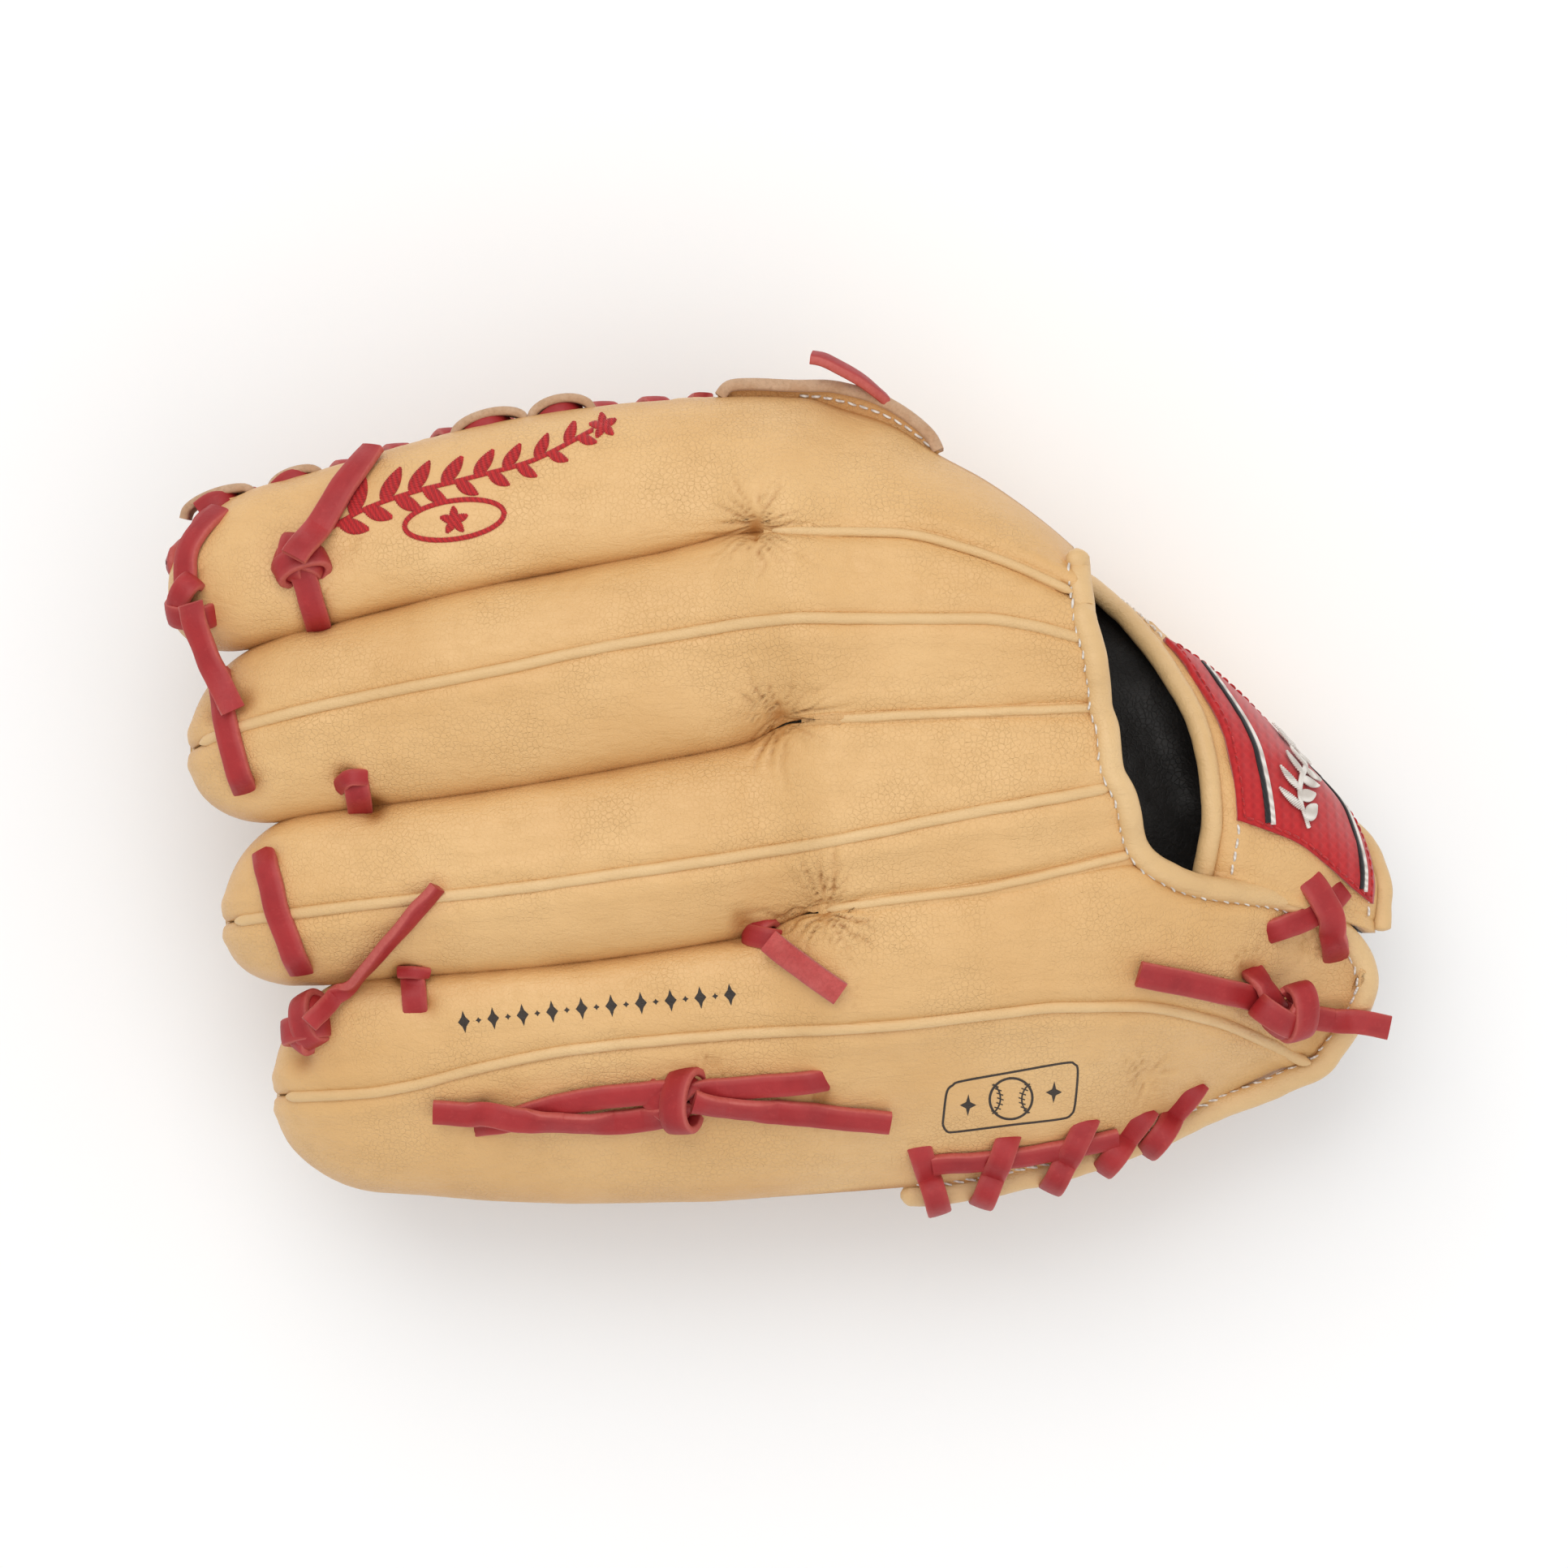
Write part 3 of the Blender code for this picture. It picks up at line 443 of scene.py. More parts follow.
def cloth(name, a, b, pitch=2600, rough=0.8):
    """Woven cloth: two crossed sets of threads."""
    n = Nodes(name)
    warp = n.make("ShaderNodeTexWave", wave_type="BANDS", bands_direction="X")
    weft = n.make("ShaderNodeTexWave", wave_type="BANDS", bands_direction="Y")
    for w in (warp, weft):
        w.inputs["Scale"].default_value = pitch / 20.0
        w.inputs["Distortion"].default_value = 0.6
        n.link(n.coord, w.inputs["Vector"])
    weave = n.mix(0.5, warp.outputs["Fac"], weft.outputs["Fac"], "DIFFERENCE")
    color = n.mix(weave, a, b)
    color = n.mix(n.math("MULTIPLY", n.noise(300, 4), 0.25), color, dark_of(a, 0.8))
    return n.finish(color, rough, n.bump(weave, 0.00012, 0.8), 0.3, 0.0, 0.3)


def thread(name, a, b):
    n = Nodes(name)
    twist = n.make("ShaderNodeTexWave", wave_type="BANDS", bands_direction="DIAGONAL")
    twist.inputs["Scale"].default_value = 420
    twist.inputs["Distortion"].default_value = 1.0
    n.link(n.coord, twist.inputs["Vector"])
    color = n.mix(twist.outputs["Fac"], a, b)
    color = n.mix(n.math("MULTIPLY", n.noise(500, 3), 0.3), color, dark_of(a, 0.85))
    return n.finish(color, 0.6, n.bump(twist.outputs["Fac"], 0.0001, 0.7), 0.4, 0.0, 0.2)


M_LACE = lace_leather()
M_RAW = suede("raw_leather", srgb(190, 150, 116), srgb(205, 172, 142))
M_SUEDE_RED = suede("lace_flesh", srgb(186, 74, 72), srgb(202, 96, 92))
M_BLACK = leather("black_leather", srgb(20, 17, 15), srgb(5, 4, 4), srgb(34, 30, 27), 0.00012,
                  (0.5, 0.7), 0.3)
M_FELT = suede("felt", srgb(205, 200, 188), srgb(222, 218, 206))
M_RED_CLOTH = cloth("label_cloth", srgb(196, 38, 40), srgb(168, 24, 30))
M_WHITE_THREAD = thread("white_thread", srgb(236, 230, 222), srgb(198, 188, 178))
M_RED_THREAD = thread("red_thread", srgb(200, 34, 36), srgb(160, 20, 24))
M_BLACK_THREAD = thread("black_thread", srgb(24, 22, 24), srgb(10, 10, 12))
M_INK = leather("black_ink", srgb(42, 34, 28), srgb(24, 18, 15), srgb(58, 46, 36), 0.00006,
                (0.45, 0.6), 0.4)


# ------------------------------------------------------------------ mesh helpers
GLOVE = bpy.data.collections.new("glove_looks")
bpy.context.scene.collection.children.link(GLOVE)


def made(name, verts, faces, material, smooth=True, attrs=None):
    mesh = bpy.data.meshes.new(name)
    pts = (np.asarray(verts, float) + SHIFT) * MM
    mesh.from_pydata(pts.tolist(), [], faces)
    for key, values in (attrs or {}).items():
        layer = mesh.attributes.new(key, "FLOAT", "POINT")
        layer.data.foreach_set("value", np.asarray(values, np.float32))
    mesh.materials.append(material)
    if smooth:
        mesh.shade_smooth()
    mesh.update()
    obj = bpy.data.objects.new(name, mesh)
    GLOVE.objects.link(obj)
    return obj


def grid_faces(rows, cols, flip=False, base=0):
    faces = []
    for a in range(rows - 1):
        for b in range(cols - 1):
            q = (base + a * cols + b, base + (a + 1) * cols + b,
                 base + (a + 1) * cols + b + 1, base + a * cols + b + 1)
            faces.append(q[::-1] if flip else q)
    return faces


def normals_of(p):
    """Unit normals of a grid of points, rows x cols x 3."""
    u = np.gradient(p, axis=0)
    v = np.gradient(p, axis=1)
    n = np.cross(u, v)
    size = np.linalg.norm(n, axis=-1, keepdims=True)
    return n / np.maximum(size, 1e-9)


def facing(p, outward):
    """Unit normals of a grid of points, turned to its outward side."""
    n = normals_of(p)
    return -n if np.dot(n.reshape(-1, 3).mean(axis=0), outward) < 0 else n


def close_mesh(obj, weld=False):
    """Turns a closed mesh's faces outwards, joining points that meet first if asked."""
    work = bmesh.new()
    work.from_mesh(obj.data)
    if weld:
        bmesh.ops.remove_doubles(work, verts=work.verts, dist=WELD)
        bmesh.ops.dissolve_degenerate(work, edges=work.edges, dist=WELD / 4)
    bmesh.ops.recalc_face_normals(work, faces=work.faces)
    work.to_mesh(obj.data)
    work.free()


def plan_sides(plan):
    """Unit vectors along a plan line and to its left."""
    run = np.gradient(plan, axis=0)
    run /= np.maximum(np.linalg.norm(run, axis=1, keepdims=True), 1e-9)
    return run, np.stack([-run[:, 1], run[:, 0]], axis=1)


SKIN = {"v": [], "f": []}


def shell(name, p, material, body, thick=2.0, outward=(0, 0, 1), burn=None, skin=True, nodes=(),
          slot="tan_leather", blend=None):
    """Closed leather sheet: the outer grid p and a copy inset by thick, joined at the rim."""
    rows, cols = p.shape[:2]
    n = normals_of(p)
    flip = np.dot(n.reshape(-1, 3).mean(axis=0), outward) < 0
    n = -n if flip else n
    inner = p - n * thick
    verts = np.concatenate([p.reshape(-1, 3), inner.reshape(-1, 3)])
    count = rows * cols
    faces = grid_faces(rows, cols, flip) + grid_faces(rows, cols, not flip, count)
    rim = ([(0, c) for c in range(cols)] + [(r, cols - 1) for r in range(1, rows)]
           + [(rows - 1, c) for c in range(cols - 2, -1, -1)] + [(r, 0) for r in range(rows - 2, 0, -1)])
    ids = [r * cols + c for r, c in rim]
    for a, b in zip(ids, ids[1:] + ids[:1]):
        q = (a, b, b + count, a + count)
        faces.append(q if flip else q[::-1])
    # painted shade per point of the outer grid; the inset copy gets a flat 0.25 of painted shade
    shade = np.zeros(count) if burn is None else burn.reshape(-1)
    obj = made(name, verts, faces, material, True, {"burn": np.concatenate([shade, shade * 0 + 0.25])})
    close_mesh(obj, weld=True)
    obj.data.shade_smooth()
    if skin:
        base = len(SKIN["v"])
        SKIN["v"].extend(p.reshape(-1, 3).tolist())
        SKIN["f"].extend(grid_faces(rows, cols, flip, base))
    attach(obj, body, nodes, slot, blend)
    return obj


ATTACH = []


def attach(obj, body, nodes=(), slot="tan_leather", blend=None):
    ATTACH.append((obj, body, tuple(nodes), slot, blend))


def along(points, spacing=1.0):
    """Even points on a smooth curve through the given points (Catmull-Rom)."""
    p = np.asarray(points, float)
    out = []
    n = len(p)
    for i in range(n - 1):
        p0 = p[max(i - 1, 0)]
        p1, p2 = p[i], p[i + 1]
        p3 = p[min(i + 2, n - 1)]
        size = max(np.linalg.norm((p2 - p1)[:3]), 1e-6)
        k = max(int(size / spacing * 2), 2)
        for s in np.linspace(0, 1, k, endpoint=False):
            out.append(0.5 * ((2 * p1) + (-p0 + p2) * s + (2 * p0 - 5 * p1 + 4 * p2 - p3) * s * s
                              + (-p0 + 3 * p1 - 3 * p2 + p3) * s ** 3))
    out.append(p[-1])
    out = np.array(out)
    gaps = np.linalg.norm(np.diff(out[:, :3] if out.shape[1] > 2 else out, axis=0), axis=1)
    total = np.concatenate([[0], np.cumsum(gaps)])
    count = max(int(total[-1] / spacing), 3)
    want = np.linspace(0, total[-1], count + 1)
    return np.stack([np.interp(want, total, out[:, k]) for k in range(out.shape[1])], axis=1)


def smooth_line(values, width):
    """Running average of a line of values or points."""
    if width < 1:
        return values
    k = np.ones(2 * width + 1)
    k /= k.sum()
    pad = [(width, width)] + [(0, 0)] * (values.ndim - 1)
    wide = np.pad(values, pad, mode="edge")
    if values.ndim == 1:
        return np.convolve(wide, k, "valid")
    return np.stack([np.convolve(wide[:, c], k, "valid") for c in range(values.shape[1])], axis=1)


def sweep_frames(path, up):
    tangent = np.gradient(path, axis=0)
    tangent /= np.maximum(np.linalg.norm(tangent, axis=1, keepdims=True), 1e-9)
    side = np.cross(tangent, up)
    side /= np.maximum(np.linalg.norm(side, axis=1, keepdims=True), 1e-9)
    top = np.cross(side, tangent)
    return tangent, side, top


def sweep(name, path, up, section, material, edges=None, taper=0.0):
    """Closed solid swept along a path; section holds (side, up) offsets, counter-clockwise."""
    path = np.asarray(path, float)
    _, side, top = sweep_frames(path, np.asarray(up, float))
    n, m = len(path), len(section)
    rings = []
    for k in range(n):
        grow = 1.0
        if taper:
            end = min(k, n - 1 - k)
            grow = 1 - (1 - min(end / taper, 1.0)) ** 2 * 0.75 if end < taper else 1.0
        rings.append(path[k] + sum_section(section, side[k], top[k], grow))
    verts = np.concatenate(rings)
    faces = []
    for k in range(n - 1):
        for j in range(m):
            a, b = k * m + j, k * m + (j + 1) % m
            faces.append((a, a + m, b + m, b))
    faces.append(tuple(range(m)))
    faces.append(tuple((n - 1) * m + j for j in range(m - 1, -1, -1)))
    attrs = {"edge": np.tile(edges, n)} if edges is not None else None
    obj = made(name, verts, faces, material, True, attrs)
    close_mesh(obj)
    obj.data.set_sharp_from_angle(angle=math.radians(50))
    return obj


def sum_section(section, side, top, grow=1.0):
    s = np.asarray(section, float) * grow
    return s[:, :1] * side + s[:, 1:] * top


def oval(rw, rh, n=12):
    return [(rw * math.cos(a), rh * math.sin(a)) for a in np.linspace(0, 2 * math.pi, n, endpoint=False)]


def flat_section(width, thick):
    """Rounded rectangle of a flat lace, its base on zero, and how much each point is a cut edge."""
    w, t, r = width / 2, thick, 0.35
    pts = [(-w + r, 0.0), (0.0, 0.0), (w - r, 0.0), (w, r), (w, t - r), (w - r, t - 0.04),
           (w * 0.45, t + 0.10), (0.0, t + 0.13), (-w * 0.45, t + 0.10), (-w + r, t - 0.04),
           (-w, t - r), (-w, r)]
    edge = [0.2, 0.0, 0.2, 0.9, 0.9, 0.25, 0.0, 0.0, 0.0, 0.25, 0.9, 0.9]
    return pts, edge


def joined(name, objects):
    """One object from several of the same kind, keeping their attributes."""
    with bpy.context.temp_override(active_object=objects[0], object=objects[0],
                                   selected_objects=objects, selected_editable_objects=objects):
        bpy.ops.object.join()
    objects[0].name = name
    return objects[0]


# ------------------------------------------------------------------ creases and dimples of the skin
FANS = (  # x, y, reach, creases, depth: puckers round the crotches and pulled holes
    (-7.2, 60.5, 27, 17, 1.5), (-1.4, 15.2, 27, 16, 1.5), (9.5, -30.5, 30, 17, 1.5),
    (-112, 43, 13, 9, 0.7), (-142, 50, 12, 9, 0.6), (-73, -81, 13, 9, 0.9), (8, -80, 15, 11, 0.9),
    (-104, 57, 12, 9, 0.6), (112, -46, 20, 13, 1.0), (-83, -24, 9, 7, 0.6), (15, -50, 9, 7, 0.5),
    (88, -72, 18, 12, 1.0), (-18, -68, 16, 11, 0.7), (128, -40, 12, 9, 0.8),
)
HOLES = (  # x, y, radius, depth: where a lace goes through the leather
    (-129.5, 19.5, 3.4, 1.5), (-136.4, 17, 3.2, 1.5), (-128.0, -0.5, 3.4, 1.5),
    (-124.5, -17.5, 3.2, 1.5), (-116.0, -44.5, 3.4, 1.5), (-117.5, -67.5, 3.2, 1.4),
    (-112.0, 39.5, 3.4, 1.6), (-105.5, 1.5, 3.2, 1.2), (-98.5, -6.0, 3.2, 1.2),
    (-92.0, -45.8, 3.2, 1.2), (-86.5, -53.0, 3.2, 1.2), (-73, -79.5, 3.4, 1.4),
    (8.5, -76.5, 3.4, 1.4), (-9.5, -34.0, 3.2, 1.2), (113.0, -47.5, 3.4, 1.6),
    (124.0, -60.5, 3.2, 1.3),
)


def crease_marks():
    """Short fine creases: across the stalls' sides, near the seams, at the heel and the tips."""
    rng = np.random.RandomState(21)
    marks = []
    for j in (1, 2, 3):
        for _ in range(26):
            x = rng.uniform(-125, 34)
            side = rng.choice((-1, 1))
            y = SEAMS[j](x) + side * rng.uniform(4, 9)
            lean = rng.uniform(-0.6, 0.6)
            size = rng.uniform(3, 8)
            marks.append((x - lean * size / 2, y - side * size / 2, x + lean * size / 2,
                          y + side * size / 2, rng.uniform(0.5, 0.9), rng.uniform(0.12, 0.3)))
    for centre, lo, hi in ((CENTRE_MIDDLE, -125, 58), (CENTRE_RING, -118, 60),
                           (CENTRE_LITTLE, -108, 112)):
        for _ in range(20):
            x = rng.uniform(lo, hi)
            side = rng.choice((-1, 1))
            y = centre(x) + side * 2.2
            size = rng.uniform(2.5, 6.5)
            lean = rng.uniform(-0.5, 0.5)
            marks.append((x, y, x + lean * size, y + side * size, rng.uniform(0.45, 0.8),
                          rng.uniform(0.15, 0.32)))
    for _ in range(26):
        x, y = rng.uniform(85, 132), 0
        y = rng.uniform(CENTRE_LITTLE(x) - 14, CENTRE_LITTLE(x) + 16)
        a, size = rng.uniform(-0.9, 0.4), rng.uniform(5, 13)
        marks.append((x, y, x + size * math.cos(a), y + size * math.sin(a),
                      rng.uniform(0.6, 1.1), rng.uniform(0.12, 0.32)))
    for _ in range(60):
        x = rng.uniform(18, 62)
        y = rng.uniform(CENTRE_RING(x) - 12, G0(x) - 14)
        a, size = rng.uniform(-0.5, 1.3), rng.uniform(3, 9)
        marks.append((x, y, x + size * math.cos(a), y + size * math.sin(a),
                      rng.uniform(0.45, 0.7), rng.uniform(0.07, 0.2)))
    for _ in range(34):
        x = rng.uniform(-140, 60)
        y = rng.uniform(G4(x) + 5, G0(x) - 5)
        a, size = rng.uniform(0, math.pi), rng.uniform(5, 14)
        marks.append((x, y, x + size * math.cos(a), y + size * math.sin(a),
                      rng.uniform(0.5, 0.9), rng.uniform(0.06, 0.16)))
    return marks


MARKS = crease_marks()


def relief(x, y):
    """Height added along the skin's normal, mm, and the painted shade in the pucker creases."""
    h = 0.34 * ripple(x, y, 3, 52, 2) + 0.075 * ripple(x, y, 5, 13, 2)
    dark = np.zeros_like(h)
    for k, (fx, fy, reach, count, depth) in enumerate(FANS):
        dx, dy = x - fx, y - fy
        r = np.hypot(dx, dy)
        a = np.arctan2(dy, dx)
        bend = 0.9 * ripple(x, y, 40 + k, 20, 2) * np.clip(r / 9, 0.2, 1)
        length = reach * (0.62 + 0.38 * np.sin(2.3 * a + k) * np.cos(5.1 * a - 2 * k))
        window = step(0.6, 2.6, r) * (1 - step(length * 0.12, length, r))
        valley = (1 - np.abs(np.sin(count * a / 2 + bend + k))) ** 3.2
        fine = (1 - np.abs(np.sin(count * 1.6 * a / 2 - bend * 1.3 + 2 * k))) ** 4
        strength = 0.6 + 0.4 * np.sin(3 * a + 1.7 * k)
        cut = window * (valley * strength + 0.45 * fine)
        h = h - 1.0 * depth * cut - 0.95 * depth * np.exp(-(r / (0.16 * reach)) ** 2)
        h = h + 0.22 * depth * window
        # painted shade: the deeper a crease is pinched near its pucker, the darker it is painted
        pinch = depth * 0.95 * cut * (1 - step(0.06 * reach, 0.62 * reach, r))
        dark = np.maximum(dark, np.minimum(pinch, 0.85))
    for hx, hy, radius, depth in HOLES:
        h = h - depth * np.exp(-((x - hx) ** 2 + (y - hy) ** 2) / radius ** 2)
    for x0, y0, x1, y1, width, depth in MARKS:
        dx, dy = x1 - x0, y1 - y0
        size = math.hypot(dx, dy)
        s = ((x - x0) * dx + (y - y0) * dy) / size ** 2
        side = ((x - x0) * dy - (y - y0) * dx) / size + 0.5 * np.sin(s * 4.0 + x0)
        along_ = np.clip(1 - (2 * s - 1) ** 2, 0, 1)
        h = h - depth * along_ * np.exp(-(side / width) ** 2)
    return h, dark


def hole_shade(x, y):
    b = np.zeros(np.broadcast(x, y).shape)
    for hx, hy, radius, _ in HOLES:
        b = np.maximum(b, 0.75 * np.exp(-((x - hx) ** 2 + (y - hy) ** 2) / (radius * 0.85) ** 2))
    for fx, fy, *_ in FANS[:3]:
        b = np.maximum(b, 0.9 * np.exp(-((x - fx) ** 2 + (y - fy) ** 2) / 1.7 ** 2))
    return b


def x_stations(tip, length, end, pitch=0.8):
    head = tip + 0.3 + length * (1 - np.cos(np.linspace(0, 0.5 * math.pi, 34)))
    head = head[head < min(tip + length, end)]
    rest = np.linspace(tip + length, end, max(int((end - tip - length) / pitch), 2))
    return np.concatenate([head, rest])


def side_fractions(n):
    """Fractions from a stall's side (-1) to its middle (0), close together at the side."""
    return -np.cos(np.linspace(0, 0.5 * math.pi, n))


def rolled(d, width=1.9, depth=1.15):
    """How far an edge is turned down at a distance d from it."""
    u = np.clip(1 - d / width, 0, 1)
    return depth * u * u


def back_panel(name, point, xs, ts, low_trim, high_trim, low_roll, high_roll, nodes):
    """Fine back panel. Trims are mm; rolls, functions of x, turn the leather down at a seam."""
    x = xs[:, None] * np.ones(len(ts))
    y_a, _ = point(xs, np.full(len(xs), ts[0]))
    y_b, _ = point(xs, np.full(len(xs), ts[-1]))
    wide = np.maximum(np.abs(y_b - y_a), 0.01)
    a = np.minimum(low_trim / wide, 0.4)[:, None]
    b = np.minimum(high_trim / wide, 0.4)[:, None]
    u = (ts - ts[0]) / (ts[-1] - ts[0])
    v = lerp(a, 1 - b, u[None, :])
    t = lerp(ts[0], ts[-1], v)
    y, z = point(x, t)
    p = np.stack([x, y, z], axis=-1)
    n = normals_of(p)
    n[n[..., 2].mean() * n[..., 2] < 0] *= -1
    if n[..., 2].mean() < 0:
        n = -n
    gaps = np.linalg.norm(np.diff(p, axis=1), axis=-1)
    from_low = np.concatenate([np.zeros((len(xs), 1)), np.cumsum(gaps, axis=1)], axis=1)
    from_high = from_low[:, -1:] - from_low
    h, dark = relief(x, y)
    edge_low = low_roll(xs)[:, None]
    edge_high = high_roll(xs)[:, None]
    h = h * np.clip(np.minimum(from_low, from_high) / 4.0, 0.25, 1)
    h = h - edge_low * rolled(from_low) - edge_high * rolled(from_high)
    # a shallow swell between the seam and the padding behind it
    h = h + 0.5 * edge_low * np.exp(-((from_low - 4.5) / 2.4) ** 2)
    h = h + 0.5 * edge_high * np.exp(-((from_high - 4.5) / 2.4) ** 2)
    p = p + n * h[..., None]
    # painted shade: darker where the leather turns down into a seam, round the lace holes and crotch pinch
    # points, down both sides of the finger stalls, and in the pucker creases
    deep = np.maximum(np.clip(1 - from_low / 2.2, 0, 1) * (0.25 + 0.6 * (1 - edge_low)),
                      np.clip(1 - from_high / 2.2, 0, 1) * (0.25 + 0.6 * (1 - edge_high)))
    side = 0.25 * step(0.80, 1.0, np.abs(t)) * (1 - step(-6, 14, x))
    burn = np.clip(np.maximum(deep, hole_shade(x, y)) + side + dark, 0, 0.9)
    return shell(name, p, M_LEATHER, FINGERS, 2.0, (0, 0, 1), burn, nodes=nodes)


def fixed(value):
    return lambda x: np.full(np.shape(x), float(value))


def crotch_roll(j):
    return lambda x: step(CROTCH[j] - 8, CROTCH[j] + 4, x)


WELT_TRIM = 0.12       # gap left for the welt down a stall's middle, mm
HALF = side_fractions(42)
FULL = np.concatenate([HALF, -HALF[-2::-1]])
BACKS = (
    # digit, panel, its end in x, side fractions, trims and rolls at its low and high side
    (0, "index", "back", 69.4, FULL, 0.0, 0.0, crotch_roll(1), fixed(0)),
    (1, "middle", "lower", 74.2, HALF, 0.0, WELT_TRIM, crotch_roll(2), fixed(1)),
    (1, "middle", "upper", 71.0, -HALF[::-1], WELT_TRIM, 0.0, fixed(1), crotch_roll(1)),
    (2, "ring", "lower", 82.5, HALF, 0.0, WELT_TRIM, crotch_roll(3), fixed(1)),
    (2, "ring", "upper", 77.2, -HALF[::-1], WELT_TRIM, 0.0, fixed(1), crotch_roll(2)),
    (3, "little", "lower", 131.6, HALF, 0.0, WELT_TRIM, fixed(0), fixed(1)),
    (3, "little", "upper", 141.6, -HALF[::-1], WELT_TRIM, 0.0, fixed(1), crotch_roll(3)),
)
for i, digit, part, end, ts, low_trim, high_trim, low_roll, high_roll in BACKS:
    point = little_lobe if i == 3 else (lambda x, t, i=i: back(i, x, t))
    node = f"{digit}_back" if part == "back" else f"{digit}_back_{part}"
    back_panel(f"{digit}_{part}_skin", point, x_stations(TIP[i], CAP[i], end), ts, low_trim,
               high_trim, low_roll, high_roll, (node,))


# ------------------------------------------------------------------ fronts, palm, thumb, folds
def plain_relief(x, y, seed, amount=0.4):
    return amount * ripple(x, y, seed, 40, 3)


def front_panel(name, xs, ts, point, body, outward, node, seed):
    x = xs[:, None] * np.ones(len(ts))
    t = ts[None, :] * np.ones((len(xs), 1))
    y, z = point(x, t)
    p = np.stack([x, y, z], axis=-1)
    n = facing(p, outward)
    rim = np.clip((1 - np.abs(t)) / 0.2, 0, 1)
    h = plain_relief(x, y, seed, 0.35) * rim
    # painted shade towards the panel's side seams
    burn = np.clip(0.45 * (1 - np.clip((1 - np.abs(t)) / 0.08, 0, 1)), 0, 0.6)
    return shell(name, p + n * h[..., None], M_PALM, body, 2.0, outward, burn, skin=False,
                 nodes=(node,))


ALL = np.sin(np.linspace(-0.5 * math.pi, 0.5 * math.pi, 34))
for i, digit in enumerate(("index", "middle", "ring", "little")):
    front_panel(digit + "_front_skin", x_stations(TIP[i], CAP[i], PALM_START - 0.6, 2.2), ALL,
                lambda x, t, i=i: front(i, x, t), FINGERS, (0, 0, -1), digit + "_front", 60 + i)
front_panel("thumb_front_skin", x_stations(THUMB_TIP, 25.0, PALM_START - 0.6, 2.2), ALL,
            thumb_front, THUMB, (0, 0, 1), "thumb_front", 66)


def thumb_panel(name, ts, node, seed):
    xs = x_stations(THUMB_TIP, 25.0, 122.0, 1.8)
    x = xs[:, None] * np.ones(len(ts))
    t = ts[None, :] * np.ones((len(xs), 1))
    y, z = thumb_back(x, t)
    z = z + 0.35 * np.clip(z / 4.0, 0, 1) * ripple(x, y, seed, 34, 3)
    z = np.maximum(z, 0.05)
    p = np.stack([x, y, z], axis=-1)
    near = np.minimum(np.abs(t), 1 - np.abs(t))
    # painted shade along both of the panel's seams
    burn = 0.5 * np.clip(1 - near / 0.06, 0, 1)
    shell(name, p, M_LEATHER, THUMB, 2.0, (0, 0, -1), burn, skin=False, nodes=(node,))


thumb_panel("thumb_inner_skin", side_fractions(26) * 0.99 - 0.01, "thumb_back_inner", 71)
thumb_panel("thumb_outer_skin", (-side_fractions(26))[::-1] * 0.99 + 0.01, "thumb_back_outer", 72)


def palm_panel(name, xs, low, high, height, body, outward, node, seed):
    s = np.linspace(0, 1, 40) ** 1.35
    x = xs[:, None] * np.ones(len(s))
    y = lerp(low(xs)[:, None], high(xs)[:, None], s[None, :])
    z = height(x, y)
    p = np.stack([x, y, z], axis=-1)
    n = facing(p, outward)
    rim = np.clip(np.minimum(s, 1 - s) / 0.08, 0, 1)[None, :] * np.ones_like(x)
    folds = 0.5 * ripple(x * 0.45, y * 1.4, seed, 26, 3)
    h = (plain_relief(x, y, seed + 3, 0.4) + folds * 0.5) * rim
    # painted shade towards the panel's rims
    burn = 0.4 * (1 - rim)
    shell(name, p + n * h[..., None], M_PALM, body, 2.0, outward, burn, skin=False,
          nodes=(node,))


palm_panel("palm_fingers_skin", np.linspace(PALM_START, 118, 74), lambda x: G4(x) + 0.5,
           FOLD, palm, FINGERS, (0, 0, -1), "palm_finger_side", 81)
palm_panel("palm_thumb_skin", np.linspace(PALM_START, 116, 74), THUMB_IN,
           thumb_fold, thumb_palm, THUMB, (0, 0, 1), "palm_thumb_side", 85)


def bowed(y0, z0, y1, z1, bow, n):
    s = np.linspace(0, 1, n)[None, :]
    y0, z0, y1, z1 = (np.asarray(v, float)[:, None] for v in (y0, z0, y1, z1))
    wide = np.hypot(y1 - y0, z1 - z0)
    out_y, out_z = (z0 - z1) / wide, (y1 - y0) / wide
    b = bow * np.sin(math.pi * s)
    return lerp(y0, y1, s) + out_y * b, lerp(z0, z1, s) + out_z * b


def bowed_panel(name, xs, y0, z0, y1, z1, bow, material, node, seed, thick, blend, columns=34,
                slot="tan_leather", depth=0.45):
    y, z = bowed(y0, z0, y1, z1, bow, columns)
    x = xs[:, None] * np.ones(columns)
    p = np.stack([x, y, z], axis=-1)
    n = facing(p, (0, 1, 0))
    s = np.linspace(0, 1, columns)[None, :]
    h = depth * ripple(x, z, seed, 22, 3) * np.clip(np.minimum(s, 1 - s) / 0.12, 0, 1)
    # painted shade towards the panel's two long edges, where it meets the other pieces
    burn = 0.45 * (1 - np.clip(np.minimum(s, 1 - s) / 0.06, 0, 1)) * np.ones_like(x)
    return shell(name, p + n * h[..., None], material, None, thick, (0, 1, 0), burn, skin=False,
                 nodes=(node,), slot=slot, blend=blend)


